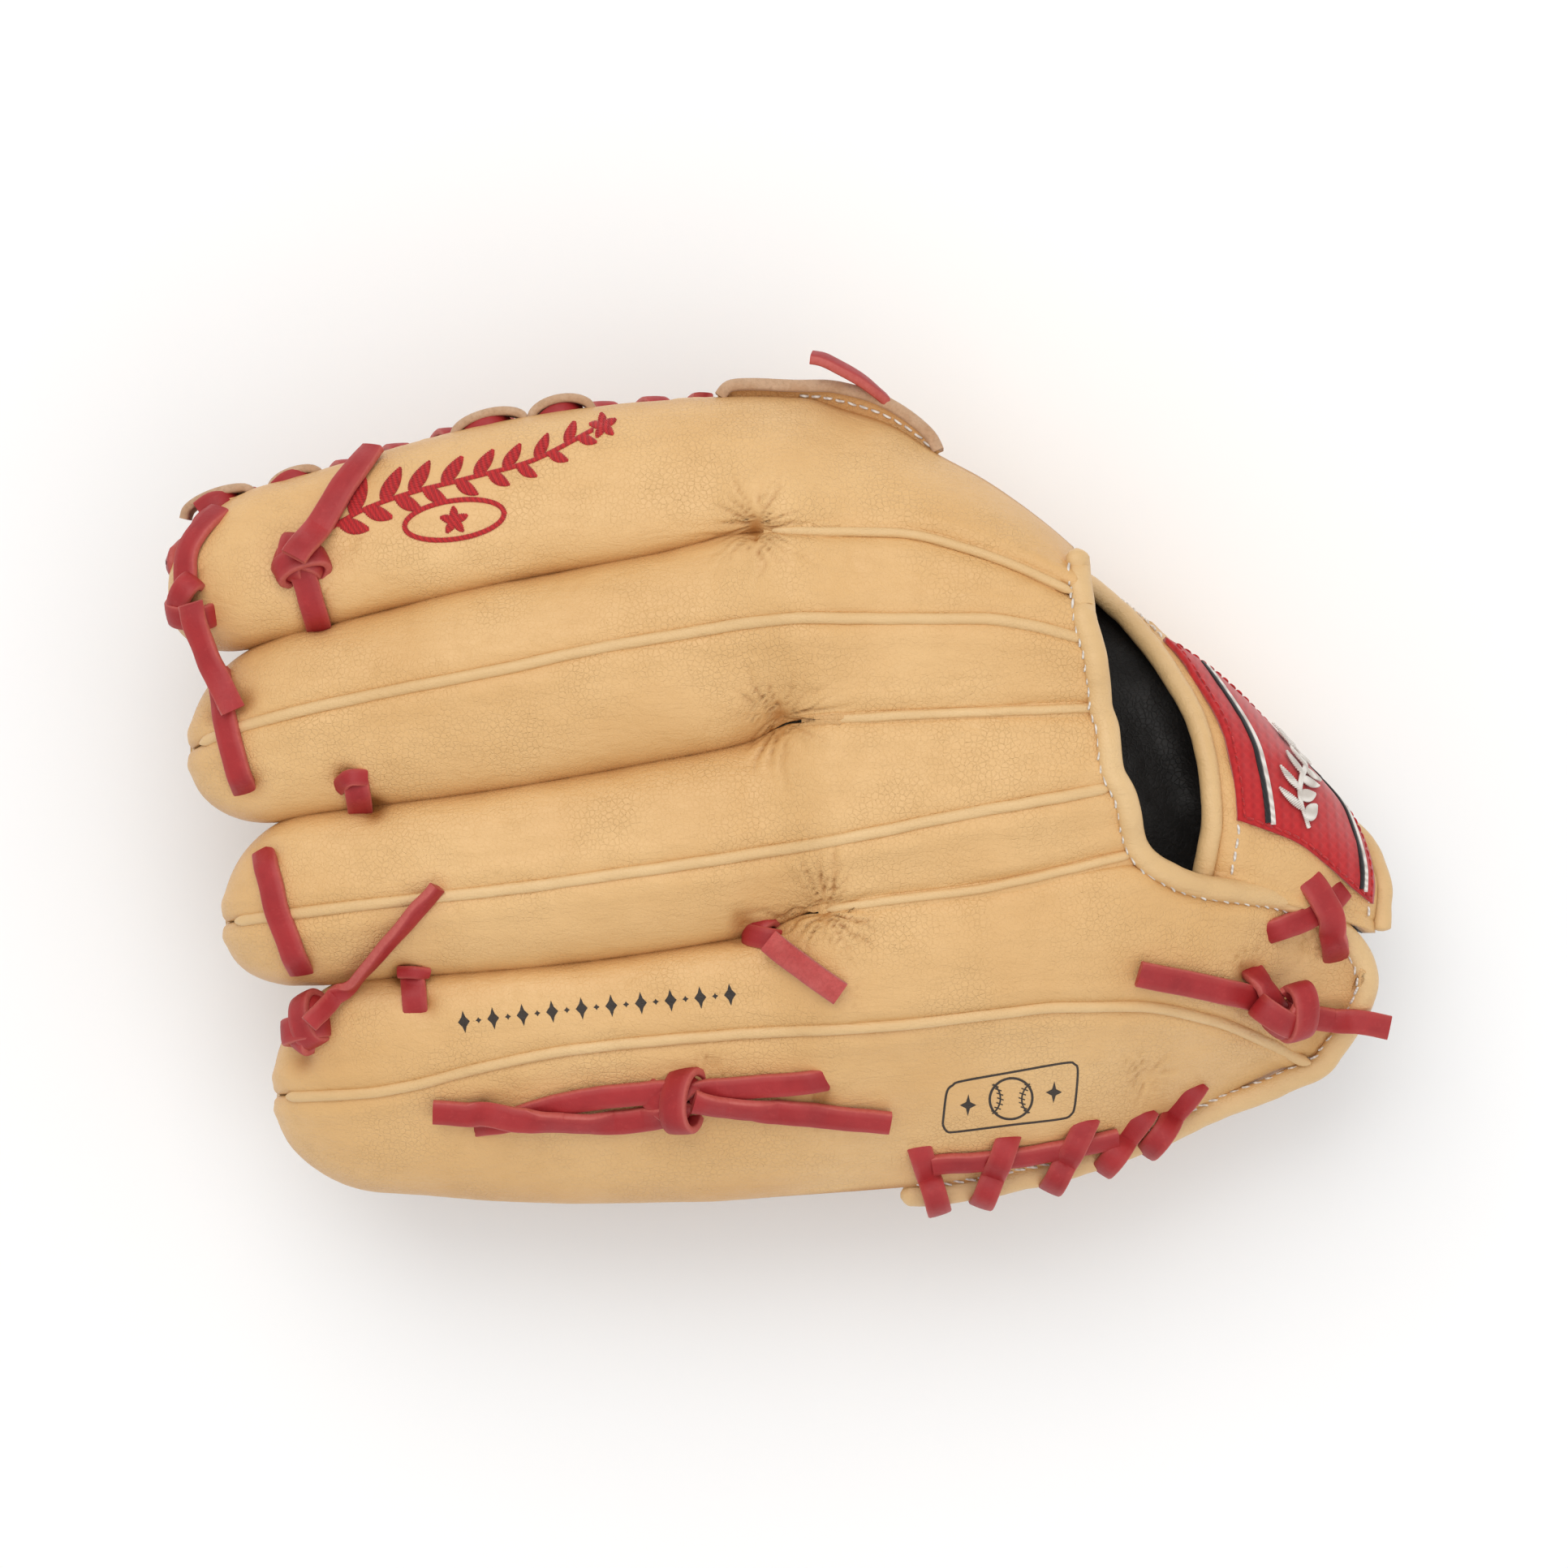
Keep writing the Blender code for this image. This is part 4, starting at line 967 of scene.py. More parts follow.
xs = np.linspace(-1, 70.5, 52)
bowed_panel("fold_back_skin", xs, G0(xs) - 0.8, mid(xs, G0(xs)) - 1.0,
            THUMB_OUT(xs) + 1.0, np.full(len(xs), THUMB_LEVEL + 2.4), 6.0, M_LEATHER,
            "fold_back", 91, 2.0, "fold")
xs = np.linspace(-6, 112, 70)
y0, y1 = FOLD(xs) + 1.2, thumb_fold(xs) + 1.6
bowed_panel("palm_fold_skin", xs, y0, palm(xs, y0) + 1.2, y1, thumb_palm(xs, y1 - 1.6), 9.0,
            M_PALM, "palm_fold", 93, 2.0, "fold")


# ------------------------------------------------------------------ dropping things onto the leather
TREE = BVHTree.FromPolygons([Vector(v) for v in SKIN["v"]], SKIN["f"])
BARE = TREE


def drop(x, y, miss=None):
    """Height of the finished back skin under (x, y), mm."""
    hit = TREE.ray_cast(Vector((x, y, 200.0)), Vector((0, 0, -1)))[0]
    if hit is not None:
        return hit.z
    near = TREE.find_nearest(Vector((x, y, 80.0)))[0] if miss is None else None
    if near is None:
        return miss
    flat = TREE.find_nearest(Vector((x, y, near.z)))[0]
    return flat.z


def tilt(x, y, reach=1.2):
    """Unit normal of the skin under (x, y), smoothed over reach mm."""
    a, b = drop(x + reach, y), drop(x - reach, y)
    c, d = drop(x, y + reach), drop(x, y - reach)
    n = np.array(((b - a) / (2 * reach), (d - c) / (2 * reach), 1.0))
    n[:2] = np.clip(n[:2], -1.6, 1.6)
    return n / np.linalg.norm(n)


def welt(name, xs, line, node, radius, proud):
    """Narrow piped welt in a seam: radius mm wide each side, proud mm above the leather."""
    ys = line(xs)
    zs = np.array([(drop(x, y - 3.0) + drop(x, y + 3.0)) / 2 for x, y in zip(xs, ys)])
    wave = 0.05 * ripple(xs, ys, 12, 14, 2)
    zs = smooth_line(zs, 4) + proud - radius * 0.8
    if line in SEAMS:
        zs -= 1.5 * (1 - step(0, 16, xs - xs[0]))
    path = np.stack([xs, ys + 0.06 * ripple(xs, ys, 15, 20, 2), zs + wave], axis=1)
    obj = sweep(name, path, (0, 0, 1), oval(radius, radius * 0.8, 14), M_WELT, taper=3)
    attach(obj, FINGERS, (node,), "welt_leather")


def seam_tape(name, xs, line):
    """Strip of leather under a seam between two fingers, so that the seam has a bottom."""
    ys = line(xs)
    zs = smooth_line(np.array([(drop(x, y - 3.2) + drop(x, y + 3.2)) / 2 for x, y in zip(xs, ys)]), 5)
    zs -= 1.9 + 1.7 * (1 - step(0, 14, xs - xs[0]))
    obj = sweep(name, np.stack([xs, ys, zs], axis=1), (0, 0, 1), oval(3.2, 1.2, 16), M_LEATHER,
                taper=2)
    attach(obj, FINGERS, (), "tan_leather")


for name, line, a, b, node in (
        ("welt_line_middle", CENTRE_MIDDLE, TIP[1] + 4, 71.5, "welt_middle"),
        ("welt_line_ring", CENTRE_RING, TIP[2] + 4, 77.5, "welt_ring"),
        ("welt_line_little", CENTRE_LITTLE, TIP[3] + 4, 130.5, "welt_little"),
        ("welt_line_index_middle", G1, CROTCH[1] - 3, 69.0, "welt_index_middle"),
        ("welt_line_middle_ring", G2, CROTCH[2] - 3, 75.0, "welt_middle_ring"),
        ("welt_line_ring_little", G3, CROTCH[3] - 3, 83.6, "welt_ring_little")):
    crotch = line in SEAMS
    if crotch:
        seam_tape(name.replace("line", "tape"), np.arange(a + 5, b + 1.2, 1.0), line)
    start, radius, proud = (a + 7, 1.15, 0.35) if crotch else (a, 1.45, 0.6)
    welt(name, np.arange(start, b, 0.8), line, node, radius, proud)


# ------------------------------------------------------------------ rolled bindings and stitches
STITCHES = {}


def stitch_row(kind, points, ups, pitch=3.3, size=2.5, radius=0.36, sink=0.18, slant=0.0):
    """Row of raised stitches along points that already lie on the surface."""
    points, ups = np.asarray(points, float), np.asarray(ups, float)
    gaps = np.linalg.norm(np.diff(points, axis=0), axis=1)
    total = np.concatenate([[0], np.cumsum(gaps)])
    rng = np.random.RandomState(len(points) * 7 + int(abs(points[0, 0])) + 11)
    bag = STITCHES.setdefault(kind, {"v": [], "f": []})
    at = pitch * 0.5
    while at < total[-1] - size * 0.5:
        mids = []
        for s in (at - size / 2, at + size / 2):
            mids.append([np.interp(s, total, points[:, k]) for k in range(3)])
        a, b = np.array(mids[0]), np.array(mids[1])
        up = np.array([np.interp(at, total, ups[:, k]) for k in range(3)])
        up /= np.linalg.norm(up)
        one_stitch(bag, a, b, up, radius * rng.uniform(0.9, 1.1), sink,
                   slant + rng.uniform(-0.08, 0.08))
        at += pitch * rng.uniform(0.96, 1.04)


def one_stitch(bag, a, b, up, radius, sink, slant=0.0):
    """Thread from a to b that rises out of the leather and goes back in."""
    line = b - a
    size = np.linalg.norm(line)
    if size < 1e-6:
        return
    t = line / size
    side = np.cross(t, up)
    side /= max(np.linalg.norm(side), 1e-9)
    up = np.cross(side, t)
    b = b + side * slant * size
    a = a - side * slant * size
    base = len(bag["v"])
    m, n = 6, 7
    for k in range(n):
        s = k / (n - 1)
        c = lerp(a, b, s) + up * (radius * (1 - sink * 4 * (2 * s - 1) ** 4) - sink)
        r = radius * (0.55 + 0.45 * math.sin(math.pi * (0.12 + 0.76 * s)))
        for j in range(m):
            w = 2 * math.pi * j / m
            bag["v"].append(c + (side * math.cos(w) + up * math.sin(w)) * r)
    for k in range(n - 1):
        for j in range(m):
            p, q = base + k * m + j, base + k * m + (j + 1) % m
            bag["f"].append((p, p + m, q + m, q))
    bag["f"].append(tuple(base + j for j in range(m)))
    bag["f"].append(tuple(base + (n - 1) * m + j for j in range(m - 1, -1, -1)))


def sew(kind, name, material, body, blend=None):
    bag = STITCHES.pop(kind)
    obj = made(name, bag["v"], bag["f"], material)
    close_mesh(obj)
    attach(obj, body, (), "red_lace" if material is M_RED_THREAD else "welt_leather", blend)
    return obj


def binding(name, path, up, section, material, node, body=FINGERS, blend=None, seed=4):
    """Rolled leather edge with the slight unevenness of a hand-turned binding."""
    path = np.asarray(path, float)
    path = path + 0.10 * np.stack([ripple(path[:, 0], path[:, 1], seed + k, 12, 2)
                                   for k in range(3)], axis=1)
    obj = sweep(name, path, up, section, material, taper=3)
    attach(obj, body, (node,), "welt_leather", blend)
    return path


edge_plan = along([(69.2, 55.6), (69.8, 50.5), (70.3, 44), (71.6, 36), (73.6, 29), (74.8, 19), (76.4, 13),
                   (77.6, 3), (80.9, -4), (82.6, -12), (84.6, -16.4), (89, -20.3), (95, -23.2),
                   (102, -25.2), (110, -26.3), (118, -27.4), (125, -29.6), (131, -32.6),
                   (136.5, -37.0), (140.6, -41.8), (142.9, -47.6), (141.9, -53.8), (138.8, -60.6),
                   (135.2, -66.2), (131.6, -70.4), (124.5, -73.6), (116, -77.2), (108, -80.2),
                   (98, -84.6), (84, -90.0), (72, -93.9), (60, -96.9), (48, -99.4), (36, -101.2),
                   (28.5, -101.4)], 0.8)
ahead = np.gradient(edge_plan, axis=0)
ahead /= np.linalg.norm(ahead, axis=1, keepdims=True)
toward_hand = np.stack([ahead[:, 1], -ahead[:, 0]], axis=1)
low_side = step(120, 100, edge_plan[:, 0]) * (edge_plan[:, 1] < -60)
edge_z = np.array([drop(*(q + inward * 3.4)) for q, inward in zip(edge_plan, toward_hand)])
edge_z = smooth_line(edge_z, 7) - 0.6 - 3.4 * smooth_line(low_side, 7)
edge_path = np.column_stack([edge_plan, edge_z])
edge_tilt = np.column_stack([-0.35 * toward_hand, np.ones(len(edge_path))])
edge_path = binding("edge_roll", edge_path, edge_tilt, oval(3.0, 2.3, 18), M_WELT,
                    "opening_binding")
_, _, roll_top = sweep_frames(edge_path, edge_tilt)
inside = np.column_stack([toward_hand, np.zeros(len(edge_path))])
seam = edge_path + inside * 2.5
seam[:, 2] = smooth_line(np.array([max(drop(x, y), z) for x, y, z in
                                   np.column_stack([seam[:, :2], edge_path[:, 2] + 0.9])]), 3)
seam_up = roll_top * 0.8 + inside * 0.35
stitch_row("white", seam[4:-4] + np.array((0, 0, 0.12)), seam_up[4:-4], 3.1, 2.7, 0.34, 0.1, 0.13)


# ------------------------------------------------------------------ wrist strap
def strap_frame(u, v, out=0.0):
    """Point on the strap and its outward normal."""
    p = strap(u, v, out)
    e = 0.004
    du = strap(u + e, v) - strap(u - e, v)
    dv = strap(u, v + e) - strap(u, v - e)
    n = np.cross(dv, du)
    n /= np.maximum(np.linalg.norm(n, axis=-1, keepdims=True), 1e-9)
    n = np.where(n[..., 2:3] < 0, -n, n)
    return p, n


us, vs = np.linspace(0, 1, 110), np.linspace(-0.02, 1.02, 46)
U, V = us[:, None] * np.ones(46), vs[None, :] * np.ones((110, 1))
grid, grid_n = strap_frame(U, V)
side_gap = np.minimum(V + 0.02, 1.02 - V)
h = 0.28 * ripple(grid[..., 0], grid[..., 1], 33, 28, 3)
h -= 0.9 * rolled(side_gap * 42, 3.0, 1.0)
h += 0.35 * np.exp(-((side_gap * 42 - 5.0) / 2.0) ** 2)
for k, u0 in enumerate((0.05, 0.72, 0.81, 0.9)):
    h -= (0.35 + 0.1 * k) * np.exp(-((U - u0 - 0.012 * np.sin(9 * V + k)) / 0.010) ** 2)
strap_skin = grid + grid_n * h[..., None]
# painted shade along the strap's two edges, under the rolled bindings
shell("wrist_strap_skin", strap_skin, M_LEATHER, None, 3.0, (0, 0.3, 1),
      0.4 * np.clip(1 - side_gap * 42 / 1.6, 0, 1), skin=False, nodes=("wrist_strap",),
      blend="strap")
for name, v, kind, node in (("strap_roll_hand", -0.05, 1, "strap_binding_hand"),
                            ("strap_roll_wrist", 1.06, -1, "strap_binding_wrist")):
    u = np.linspace(0.02, 0.98, 150)
    p, n = strap_frame(u, np.full(150, v), -1.2)
    path = binding(name, p, (0.1, 0.4, 1.0), oval(2.6, 2.3, 16), M_WELT, node, None, "strap",
                   30 + kind)
    q, m = strap_frame(u, np.full(150, 0.075 if kind > 0 else 0.925), 0.0)
    stitch_row("strap", q[4:-4] + m[4:-4] * 0.25, m[4:-4], 3.3, 2.4)


# ------------------------------------------------------------------ web
def post_panel(name, rows, node, body, seed):
    """Raw-edged web leather through a few profile rows: stations x profile x 3."""
    rows = np.asarray(rows, float)
    s = np.linspace(0, rows.shape[1] - 1, 18)
    fine = np.stack([[np.interp(s, range(rows.shape[1]), r[:, k]) for k in range(3)]
                     for r in rows]).transpose(0, 2, 1)
    n = normals_of(fine)
    h = 0.35 * ripple(fine[..., 0], fine[..., 2], seed, 24, 3)
    return shell(name, fine + n * h[..., None], M_LEATHER, body, 2.6, (0, 1, 0),
                 np.zeros(fine.shape[:2]), skin=False, nodes=(node,), slot="web_leather")


xs = np.linspace(-139, -17, 96)
post_panel("web_post_index_skin",
           [[(x, G0(x) + y, mid(x, G0(x)) + z) for y, z in ((0.3, 2.0), (0.9, -3), (0.8, -12),
                                                           (0.2, -20))] for x in xs],
           "web_post_index", FINGERS, 51)
xs = np.linspace(-103, -9, 80)
post_panel("web_post_thumb_skin",
           [[(x, THUMB_OUT(x) + y, z) for y, z in ((1.4, 12), (2.6, 20), (5, 28), (8.5, 36))]
            for x in xs], "web_post_thumb", THUMB, 52)
xs = np.linspace(-14, 35, 44)
post_panel("web_base_skin",
           [[(x, G0(x) + y, mid(x, G0(x)) + z) for y, z in ((0.4, -4), (1.6, -8), (1.8, -14))]
            for x in xs], "web_base", FINGERS, 53)
for name, x0, x1, seed in (("web_top_bar", -101, -86, 54), ("web_crossbar", -70, -40, 55)):
    xs = np.linspace(x0, x1, 22)
    bowed_panel(name + "_skin", xs, G0(xs) + 0.6, mid(xs, G0(xs)) - 27.5, THUMB_OUT(xs) + 13,
                np.full(22, 43.5), 6.0, M_LEATHER, name, seed, 2.6, "web", 26, "web_leather", 0.25)


# ------------------------------------------------------------------ laces
LACE_CLEAR = 0.2       # height of a lace's underside above what it lies on, mm


def settle(obj):
    """Lets later pieces lie on top of this one as well as on the leather."""
    global TREE
    base = len(SKIN["v"])
    back_ = np.array([v.co[:] for v in obj.data.vertices]) / MM - SHIFT
    SKIN["v"].extend(back_.tolist())
    SKIN["f"].extend([tuple(base + i for i in f.vertices) for f in obj.data.polygons])
    TREE = BVHTree.FromPolygons([Vector(v) for v in SKIN["v"]], SKIN["f"])


def lay(points, width, dips, miss, bridge):
    """Centre line and up vectors of a flat lace that lies over whatever is under it."""
    pts = [(p[0], p[1], p[2] if len(p) > 2 else 0.0) for p in points]
    plan = along(pts, 0.7)
    xy, extra = plan[:, :2], plan[:, 2]
    _, side = plan_sides(xy)
    reach = np.array((-1, -0.5, 0, 0.5, 1)) * width * 0.46
    zs = np.array([[drop(*(q + s * r), miss) if miss is not None else drop(*(q + s * r))
                    for r in reach] for q, s in zip(xy, side)])
    right = np.maximum(zs[:, 0], zs[:, 1])
    left = np.maximum(zs[:, 3], zs[:, 4])
    centre = np.maximum(zs[:, 2], (left + right) / 2)
    wide = lambda v: np.maximum(np.maximum(v, np.roll(v, 1)), np.roll(v, -1))
    slope = smooth_line((left - right) / (width * 0.92), 3)
    z = smooth_line(np.concatenate([centre[:1], wide(centre)[1:-1], centre[-1:]]), 3) + LACE_CLEAR
    if bridge:
        z = np.array([z[max(k - bridge, 0):k + bridge + 1].max() for k in range(len(z))])
        z = smooth_line(z, bridge)
        slope = smooth_line(slope, bridge)
    n = len(z)
    s = np.arange(n) * 0.7
    for end, depth in enumerate(dips):
        d = s if end == 0 else s[::-1]
        z = z - depth * np.clip(1 - d / 3.4, 0, 1) ** 1.4
    path = np.column_stack([xy, z + extra])
    side3 = np.column_stack([side, slope])
    run3 = np.gradient(path, axis=0)
    up = np.cross(run3, side3)
    up /= np.linalg.norm(up, axis=1, keepdims=True)
    return path, up


def ribbon(name, path, up, width=6.0, thick=2.1, material=M_LACE, roll=0.0):
    """Flat lace swept along a path."""
    path, up = np.asarray(path, float).copy(), np.asarray(up, float).copy()
    seed = 17 + len(name) + int(abs(path[0, 0]))
    path += 0.1 * np.stack([ripple(path[:, 0], path[:, 1], seed + k, 16, 2) for k in range(3)], 1)
    if roll:
        run = np.gradient(path, axis=0)
        run /= np.linalg.norm(run, axis=1, keepdims=True)
        s = np.linspace(0, 1, len(path))
        a = roll * step(0.0, 0.35, s)
        up = up * np.cos(a)[:, None] + np.cross(run, up) * np.sin(a)[:, None]
    section, edge = flat_section(width, thick)
    return sweep(name, path, up, section, material, edge)


def flat_lace(name, points, width=6.0, dips=(0, 0), nodes=(), material=M_LACE, roll=0.0,
              thick=2.1, miss=None, bridge=0):
    """Lace laid on the glove through the given points; where nothing lies under a free one, it keeps the
    height miss.
    """
    path, up = lay(points, width, dips, miss, bridge)
    obj = ribbon(name, path, up, width, thick, material, roll=roll)
    attach(obj, FINGERS, nodes, "red_lace")
    settle(obj)


def knot(name, x, y, heading, bands, scale=1.0, lift=0.0):
    """Tight knot of flat lace: bands of it wrap over the lace at their own angles.

    heading is the lace's direction in plan; each band is (angle, shift, half width, height, slip).
    """
    n = tilt(x, y, 4.0)
    z = drop(x, y) + lift
    h = np.array((math.cos(heading), math.sin(heading), 0.0))
    e1 = h - n * np.dot(h, n)
    e1 /= np.linalg.norm(e1)
    e2 = np.cross(n, e1)
    origin = np.array((x, y, z))
    made_bands = []
    for k, (angle, shift, half, height, slip) in enumerate(bands):
        d = e1 * math.cos(angle) + e2 * math.sin(angle)
        across = np.cross(n, d)
        th = np.linspace(math.radians(-58), math.radians(238), 46)
        bulge = 1 + 0.04 * np.sin(3 * th + k)
        a, b = half * scale * bulge, height * scale * bulge
        drift = slip * scale * (th - math.pi / 2) / 2.4
        path = (origin + e1 * shift * scale + across * (a * np.cos(th))[:, None]
                + n * (b * np.sin(th) + 0.25 * height * scale)[:, None] + d * drift[:, None])
        up = across * (np.cos(th) * b)[:, None] + n * (np.sin(th) * a)[:, None]
        up /= np.linalg.norm(up, axis=1, keepdims=True)
        section, edge = flat_section(5.7 * scale, 2.0)
        obj = sweep(f"{name}_band_{k + 1}", path, up, section, M_LACE, edge)
        made_bands.append(obj)
    obj = joined(name, made_bands) if len(made_bands) > 1 else made_bands[0]
    attach(obj, FINGERS, (), "red_lace")
    settle(obj)


TIE = ((0.95, -2.6, 4.4, 2.7, 0.8), (0.12, 2.2, 4.9, 3.5, -1.2), (-0.7, 0.2, 4.2, 2.3, 0.4))
OVERHAND = ((0.75, -1.6, 4.0, 2.6, 0.9), (-0.2, 1.9, 4.6, 3.2, -1.0), (-0.85, 0.4, 4.2, 2.2, 0.3))

# index stall tip: a loop round the edge, a knot, and a tail that ends on the next lace
flat_lace("index_tip_behind", [(-138.4, 65.5, -2), (-143.6, 61.6, -0.5), (-147.0, 57.0, -1.5),
                               (-147.4, 51.5, -5.0)], 5.2, (0.5, 1.0), miss=44.0)
flat_lace("middle_tip_stitch", [(-135.4, 25.4), (-134.2, 20), (-132.5, 11.6), (-130.6, 4.2),
                                (-129.4, -1.4)], 6.0, (2.0, 3.4), ("middle_tip_lace",))
flat_lace("index_tip_loop", [(-136.0, 65.2, -1.0), (-139.8, 61.0), (-142.6, 56.6),
                             (-143.6, 51.5), (-143.2, 46.5)], 6.0, (1.0, 0.0))
knot("index_tip_knot", -142.6, 43.2, -1.45, OVERHAND, 1.0)
flat_lace("index_tip_tail", [(-142.0, 43.0, 2.2), (-140.6, 38.2, 1.0), (-138.6, 33.4, 0.2),
                             (-136.2, 27.4, 0.2), (-131.6, 17.2, 0.3)], 6.0, (0, 0),
          ("index_tip_lace",), bridge=9)

# index stall, second knot
flat_lace("index_knot_low", [(-115.4, 51.4, 1.2), (-113.6, 46.4), (-112.3, 41.4), (-111.7, 37.0)],
          6.0, (0, 3.2))
knot("index_knot_wraps", -116.2, 52.4, -0.95, OVERHAND, 1.02)
flat_lace("index_knot_tail", [(-116.2, 53.2, 2.6), (-112.6, 58.6, 1.6), (-108.6, 65.0, 0.6),
                              (-104.6, 71.6, 0.5), (-98.7, 80.0, 0.8)], 6.4, (0, 0),
          ("index_knot_lace",))

flat_lace("ring_tip_stitch", [(-124.6, -17.2), (-123.0, -23), (-121.2, -30.1), (-118.6, -37.6),
                              (-116.4, -44.4)], 6.0, (3.2, 3.4), ("ring_tip_lace",))
flat_lace("groove_stitch_upper", [(-102.2, 1.6), (-101.9, -2.4), (-102.0, -6.4)], 6.0, (1.8, 2.4))
flat_lace("groove_stitch_upper_loop", [(-106.2, -0.6, -0.5), (-103.6, 1.2, 0.4), (-100.2, 1.3, 0.2)],
          4.0, (2.0, 1.6), thick=1.6)
flat_lace("groove_stitch_lower", [(-89.2, -44.6), (-89.0, -49.4), (-88.9, -54.8)], 6.0, (2.4, 2.6))
flat_lace("groove_stitch_lower_cap", [(-92.2, -45.4, 0.3), (-86.0, -45.2, 0.3)], 3.0, (1.2, 1.2),
          thick=1.6)

# little stall tip knot, its tail on edge
knot("little_tip_knot", -114.6, -58.4, 0.82,
     ((0.75, -1.2, 4.6, 2.6, 0.8), (-0.55, 1.4, 4.4, 3.0, -0.9), (1.7, 0.2, 4.8, 2.2, 0.2)), 1.08)
flat_lace("little_tip_tail", [(-114.4, -57.8, 2.6), (-107.8, -50.8, 2.2), (-96.4, -38.8, 1.4),
                              (-83.2, -24.0, 1.2)], 4.6, (0, 0), ("little_tip_lace",), roll=0.9,
          thick=2.3)

# crotch of the little stall
knot("crotch_knot", -4.9, -36.4, -0.65,
     ((0.2, -0.4, 3.6, 2.3, 0.5), (-0.9, 0.6, 3.9, 2.7, -0.6)), 0.92)
flat_lace("crotch_tail", [(-3.8, -37.4, 1.8), (3.4, -42.8, 0.6), (8.0, -46.0, 0.4),
                          (13.4, -49.6, 0.5)], 5.8, (0, 0), ("crotch_lace",),
          material=M_SUEDE_RED)

# square knot on the little stall
flat_lace("hinge_behind_left", [(-74.5, -82.6), (-68, -81.2), (-59.6, -78.6, 0.4),
                                (-50.0, -76.2, 0.9), (-41.0, -74.9, 0.8), (-28.0, -73.6, 0.8)],
          5.6, (3.0, 0))
flat_lace("hinge_behind_right", [(9.2, -70.6), (3.0, -71.6), (-6.0, -72.4, 0.5), (-16.9, -73.2, 0.8),
                                 (-23.0, -74.4, 0.8)], 5.6, (3.2, 0))
flat_lace("hinge_tail_left", [(-26.0, -78.6, 1.8), (-34.0, -80.4, 1.0), (-44.0, -81.2, 0.6),
                              (-63.4, -80.6, 0.7), (-84.8, -78.8, 1.2)], 6.0, (0, 0),
          ("hinge_lace",))
flat_lace("hinge_tail_right", [(-22.0, -75.6, 1.6), (-13.0, -77.2, 0.8), (6.4, -79.4, 0.6),
                               (25.2, -81.2, 0.9)], 6.0, (0, 0))
knot("hinge_knot", -25.6, -76.4, -0.1, TIE, 1.22, lift=0.6)

# wrist tie
flat_lace("wrist_tie_tail_left", [(118.5, -54.2, 2.0), (111.5, -51.6, 1.2), (103.0, -49.2, 0.8),
                                  (84.2, -45.2, 1.4)], 6.2, (0, 0), ("strap_tie_lace",))
flat_lace("wrist_tie_hole", [(113.0, -45.6), (115.0, -49.0), (117.6, -53.0, 0.6),
                             (120.0, -57.0, 0.8)], 5.8, (3.2, 0))
flat_lace("wrist_tie_tail_right", [(122.4, -56.4, 2.0), (129.0, -57.0, 1.6), (136.0, -58.0, 1.6),
                                   (142.0, -58.8, 1.5), (148.4, -60.0, 0.6)], 6.0, (0, 0),
          miss=58.0)
knot("wrist_tie_knot", 121.0, -55.2, -0.16, TIE, 1.12, lift=0.8)

# crossed laces that hold the strap to the heel
flat_lace("strap_cross_under", [(117.2, -35.6), (121.4, -34.2), (126.3, -32.6, 0.3),
                                (131.6, -29.4, 0.5), (135.2, -25.8, 0.3)], 5.8, (2.6, 1.0))
flat_lace("strap_cross_over", [(115.2, -19.6), (120.6, -19.8), (125.4, -22.4, 0.4),
                               (129.4, -27.2, 0.8), (132.8, -33.6, 0.4), (134.6, -41.8)], 6.6,
          (2.4, 3.0), ("strap_cross_lace",))


# ------------------------------------------------------------------ spiral lacing along the heel
flat_lace("heel_run", [(36.0, -92.4), (48.0, -91.6), (58.8, -90.4), (70.0, -88.6), (81.0, -86.2)],
          5.6, (0.4, 0.2), ("heel_lace",))


def heel_wrap(name, top, bottom):
    """One turn of lace from a hole in the leather over the binding and under the heel's edge."""
    top, bottom = np.array(top, float), np.array(bottom, float)
    pts = [(*lerp(top, bottom, s), 0.0) for s in (0, 0.3, 0.62, 0.85)]
    plan = along(pts, 0.7)
    z = np.array([drop(x, y) for x, y, _ in plan])
    z = smooth_line(z, 3) + 0.25
    z -= 3.2 * np.clip(1 - np.arange(len(z)) * 0.7 / 3.0, 0, 1) ** 1.4
    path = [np.array((x, y, h)) for (x, y, _), h in zip(plan, z)]
    end = path[-1]
    out = (bottom - top) / np.linalg.norm(bottom - top)
    rim = edge_path[np.argmin(np.linalg.norm(edge_path[:, :2] - bottom, axis=1))]
    reach = max(np.dot(rim[:2] - end[:2], out) + 3.4, 1.5)
    fall = end[2] - rim[2]
    for a in np.linspace(0.12, 1.0, 12):
        w = a * math.pi * 0.62
        path.append(end + np.array((*(out * reach * math.sin(w)), 0))
                    - np.array((0, 0, (fall + 4.0) * (1 - math.cos(w)) / 1.3)))
    path = smooth_line(np.array(path), 2)
    across = np.array((-out[1], out[0], 0.0))
    up = np.cross(np.gradient(path, axis=0), across)
    up /= np.linalg.norm(up, axis=1, keepdims=True)
    if up[0][2] < 0:
        up = -up
    obj = ribbon(name, path, up, 6.0, 2.1)
    attach(obj, FINGERS, (), "red_lace")
    settle(obj)


for k, (top, bottom) in enumerate((((32.4, -87.6), (37.0, -102.0)), ((54.6, -85.6), (49.4, -100.4)),
                                   ((74.0, -81.6), (66.6, -97.2)), ((88.8, -80.2), (80.6, -92.0)),
                                   ((101.2, -73.8), (91.6, -87.4)))):
    heel_wrap(f"heel_wrap_{k + 1}", top, bottom)


TREE = BARE     # what follows lies on the leather itself, under the laces


